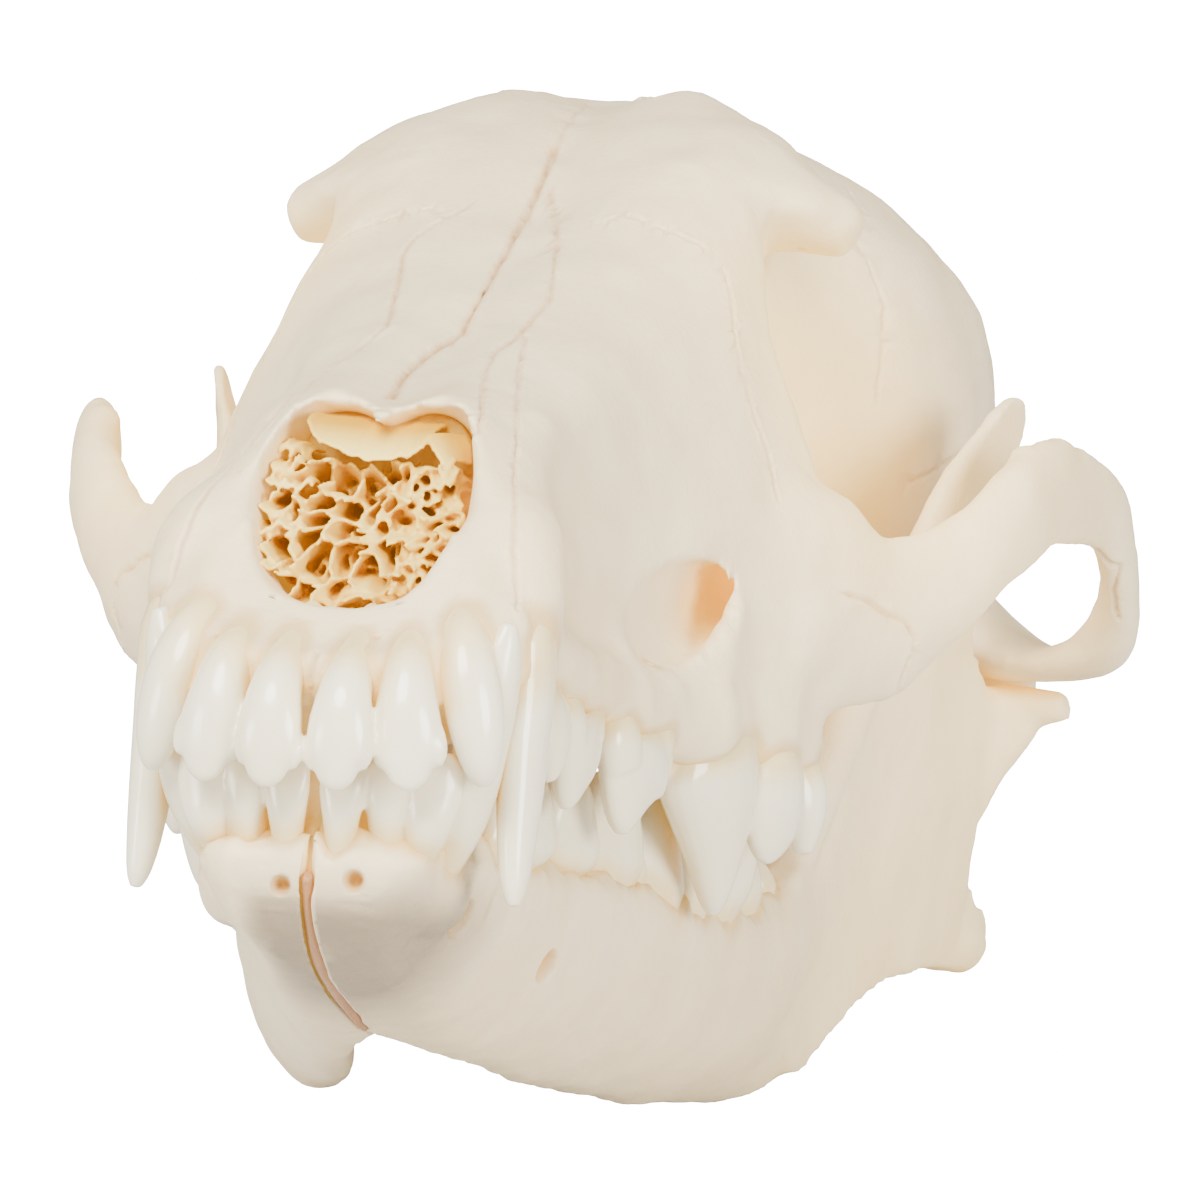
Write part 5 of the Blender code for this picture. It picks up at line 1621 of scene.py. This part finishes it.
squeeze = grain.nodes.new("ShaderNodeMapping")
squeeze.inputs["Scale"].default_value = (1.0, 1.0, 6.0)
grain.links.new(place, squeeze.inputs["Vector"])
streaks = add_noise(grain, squeeze.outputs["Vector"], 330, 4, 0.6)
streaks = add_math(grain, "MULTIPLY", streaks, grain_in.outputs["Streaks"])
height = add_math(grain, "ADD", fine.outputs["Fac"], streaks)
grain.links.new(height, grain_out.inputs["Height"])


# %% A finish from its colours
# painted shade: the dark amber mixed into the deepest places
DEEP_SHADE_AMBER = (0.62, 0.31, 0.03)
DARK = (0.0, 0.0, 0.0)
# painted glows, given off by narrow places, deep places and thin walls
NARROW_GLOW = (0.34, 0.20, 0.01)
DEEP_GLOW = (0.42, 0.19, 0.0)
THIN_GLOW = (1.25, 0.78, 0.12)


def new_finish(
    name, clean, patch, narrow_shade, roughness, grain_size, grain_depth, shine=0.5, glow_strength=1.0, shut=0.85
):
    """A finish with patches and grain, painted amber shade and painted glow in narrow places, and painted
    glow on thin walls. It returns its tree, shader and colour.
    """
    finish = bpy.data.materials.new(name)
    finish.use_nodes = True
    tree = finish.node_tree
    shader = tree.nodes["Principled BSDF"]
    node = tree.nodes.new("ShaderNodeGroup")
    node.node_tree = grain
    node.inputs["Grain Size"].default_value = grain_size
    colour = add_mix(tree, node.outputs["Patches"], clean, patch)
    # painted shade: narrow places turn amber, and the deepest ones a darker amber
    inner = add_range(tree, attribute(tree, "open"), 0.1, shut, 1.0, 0.0)
    colour = add_mix(tree, inner, colour, narrow_shade)
    deep = add_range(tree, attribute(tree, "open"), 0.0, 0.36, 1.0, 0.0)
    colour = add_mix(tree, add_math(tree, "MULTIPLY", deep, 0.6), colour, DEEP_SHADE_AMBER)
    # painted glow: narrow and deep places, and thin walls, give off light of their own
    glow = add_mix(tree, inner, DARK, NARROW_GLOW)
    glow = add_mix(tree, deep, glow, DEEP_GLOW)
    glow = add_mix(tree, attribute(tree, "thin_wall_glow"), glow, THIN_GLOW)
    tree.links.new(glow, shader.inputs["Emission Color"])
    shader.inputs["Emission Strength"].default_value = glow_strength
    shader.inputs["Roughness"].default_value = roughness
    shader.inputs["Specular IOR Level"].default_value = shine
    shader.inputs["Subsurface Weight"].default_value = 0.12
    shader.inputs["Subsurface Radius"].default_value = (1.0, 0.55, 0.3)
    shader.inputs["Subsurface Scale"].default_value = 0.0016
    bump = tree.nodes.new("ShaderNodeBump")
    bump.inputs["Strength"].default_value = 1.0
    bump.inputs["Distance"].default_value = grain_depth
    tree.links.new(node.outputs["Height"], bump.inputs["Height"])
    tree.links.new(bump.outputs["Normal"], shader.inputs["Normal"])
    return finish, tree, shader, colour


# %% Bone
bone_finish, tree, shader, colour = new_finish(
    "bone", (0.86, 0.70, 0.43), (0.79, 0.61, 0.34), (0.86, 0.62, 0.27), 0.5, 1400, 0.00008
)
GUM_STAIN = (0.66, 0.42, 0.16)
# painted shade on the chin's down-facing front, over its own grey
CHIN_SHADE_GREY = (0.27, 0.20, 0.12)
# the sutures' own tan, also used as painted shade at the bottom of pits and nerve openings
SUTURE_TAN_AND_PIT_SHADE = (0.52, 0.25, 0.08)
gum = add_range(tree, attribute(tree, "gum"), 0.55, 0.95, 0.0, 0.75)
chin_grey_and_shade = add_math(tree, "MULTIPLY", attribute(tree, "chin_grey_and_shade"), 0.95)
seam_and_shade = add_math(tree, "MULTIPLY", attribute(tree, "seam_and_shade"), 0.9)
for share, stain_and_shade in ((gum, GUM_STAIN), (chin_grey_and_shade, CHIN_SHADE_GREY), (seam_and_shade, SUTURE_TAN_AND_PIT_SHADE)):
    colour = add_mix(tree, share, colour, stain_and_shade)
tree.links.new(colour, shader.inputs["Base Color"])

# %% Teeth
tooth_finish, tree, shader, colour = new_finish(
    "tooth", (0.85, 0.77, 0.56), (0.83, 0.73, 0.48), (0.86, 0.64, 0.30), 0.2, 600, 0.00001, 0.6, 0.5, 0.5
)
NECK_YELLOW = (0.80, 0.60, 0.27)
gum = add_range(tree, attribute(tree, "gum"), 0.5, 0.97, 0.0, 0.9)
tree.links.new(add_mix(tree, gum, colour, NECK_YELLOW), shader.inputs["Base Color"])

# %% Tissue of the chin's seam
tissue_finish, tree, shader, colour = new_finish(
    "tissue", (0.44, 0.22, 0.09), (0.32, 0.14, 0.05), (0.40, 0.19, 0.07), 0.45, 900, 0.00006, 0.5, 0.05
)
tree.links.new(colour, shader.inputs["Base Color"])

# %% Turbinates
# the strong amber of these colours is partly painted warm shade of the deep nose
turbinate_finish, tree, shader, colour = new_finish(
    "turbinate", (0.89, 0.68, 0.22), (0.85, 0.58, 0.11), (0.72, 0.40, 0.012), 0.5, 2200, 0.00005, 0.4, 0.16
)
# painted shade, deepening upwards and backwards into the nose
NOSE_SHADE_AMBER = (0.60, 0.32, 0.006)
colour = add_mix(tree, attribute(tree, "seam_and_shade"), colour, NOSE_SHADE_AMBER)
tree.links.new(colour, shader.inputs["Base Color"])

# %% Finishes onto the pieces, and the pieces onto the table
# soft waves of the bone's skin: how close they lie, and their height in millimetres
SWELLS = ((0.15, 0.34), (0.5, 0.1))
for piece in (cranium, *mandibles.values()):
    co, no = places_of(piece), normals_of(piece)
    swell = np.array([sum(noise.noise(Vector(p) * scale) * height for scale, height in SWELLS) for p in co])
    move_to(piece, co + no * swell[:, None])
finish_of = {cranium: bone_finish, turbinates: turbinate_finish, symphysis: tissue_finish}
finish_of |= {bone: bone_finish for bone in mandibles.values()}
for piece in pieces:
    piece.data.materials.clear()
    piece.data.materials.append(finish_of.get(piece, tooth_finish))
    piece.data.shade_smooth()
    piece.data.transform(to_table)
    move_to(piece, np.clip(places_of(piece), solid_box[0], solid_box[1]))

# %% [markdown]
# ## Floor and light
#
# The photograph is lit from above by something large and soft, in front of pure white. Three large lamps
# do the same here: one overhead, a weak one to the left of the camera and a stronger one to its right.
# The world fills the shadows. To the camera, the floor and the world are both plain white.

# %% Floor
FLOOR_HALF_SIZE = 6.0
FLOOR_SEEN = 20.0
bm = bmesh.new()
bmesh.ops.create_grid(bm, x_segments=1, y_segments=1, size=FLOOR_HALF_SIZE)
floor = as_object("floor", bm)
floor_finish = bpy.data.materials.new("pale_floor")
floor_finish.use_nodes = True
tree = floor_finish.node_tree
floor_shader = tree.nodes["Principled BSDF"]
floor_shader.inputs["Base Color"].default_value = (0.6, 0.6, 0.6, 1)
floor_shader.inputs["Roughness"].default_value = 1.0
floor_shader.inputs["Specular IOR Level"].default_value = 0.0
floor_shader.inputs["Emission Color"].default_value = (1, 1, 1, 1)
path = tree.nodes.new("ShaderNodeLightPath")
glow = add_math(tree, "MULTIPLY", path.outputs["Is Camera Ray"], FLOOR_SEEN)
tree.links.new(glow, floor_shader.inputs["Emission Strength"])
floor.data.materials.append(floor_finish)


# %% Lamps and the world
def area_light(name, place, aim, size, power):
    data = bpy.data.lights.new(name, "AREA")
    data.shape = "DISK"
    data.size = size
    data.energy = power
    made = bpy.data.objects.new(name, data)
    bpy.context.scene.collection.objects.link(made)
    made.location = place
    made.rotation_euler = (Vector(aim) - Vector(place)).to_track_quat("-Z", "Y").to_euler()


# each lamp's name, place, aim, size and power
LAMPS = (
    ("overhead_light", (-0.12, -0.65, 0.85), (0, -0.02, 0.04), 0.6, 30),
    ("left_light", (-0.8, -0.7, 0.15), (0, 0, 0.04), 0.4, 7.5),
    ("right_light", (0.85, -0.6, 0.3), (0, 0, 0.04), 0.5, 18),
)
for lamp in LAMPS:
    area_light(*lamp)
world = bpy.data.worlds.new("studio")
world.use_nodes = True
tree = world.node_tree
background = tree.nodes["Background"]
background.inputs["Color"].default_value = (1, 1, 1, 1)
path = tree.nodes.new("ShaderNodeLightPath")
WORLD_SEEN = 40.0
WORLD_LIGHT = 0.42
strength = add_range(tree, path.outputs["Is Camera Ray"], 0, 1, WORLD_LIGHT, WORLD_SEEN)
tree.links.new(strength, background.inputs["Strength"])
bpy.context.scene.world = world

# %% Riding, sizes and the end
for piece in pieces:
    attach(piece, "root")
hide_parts("muzzle", "braincase", "zygomatic_arch_left", "zygomatic_arch_right")
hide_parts("muzzle")
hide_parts("nasal_turbinates")
for side, node in ((1, "mandible_left"), (-1, "mandible_right")):
    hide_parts(node)
    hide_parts(node)
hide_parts("mandible_left", "mandible_right")
bpy.context.view_layer.update()


def rounded(box):
    return [[round(float(value), 5) for value in corner] for corner in box]


print("solid box", rounded(solid_box))
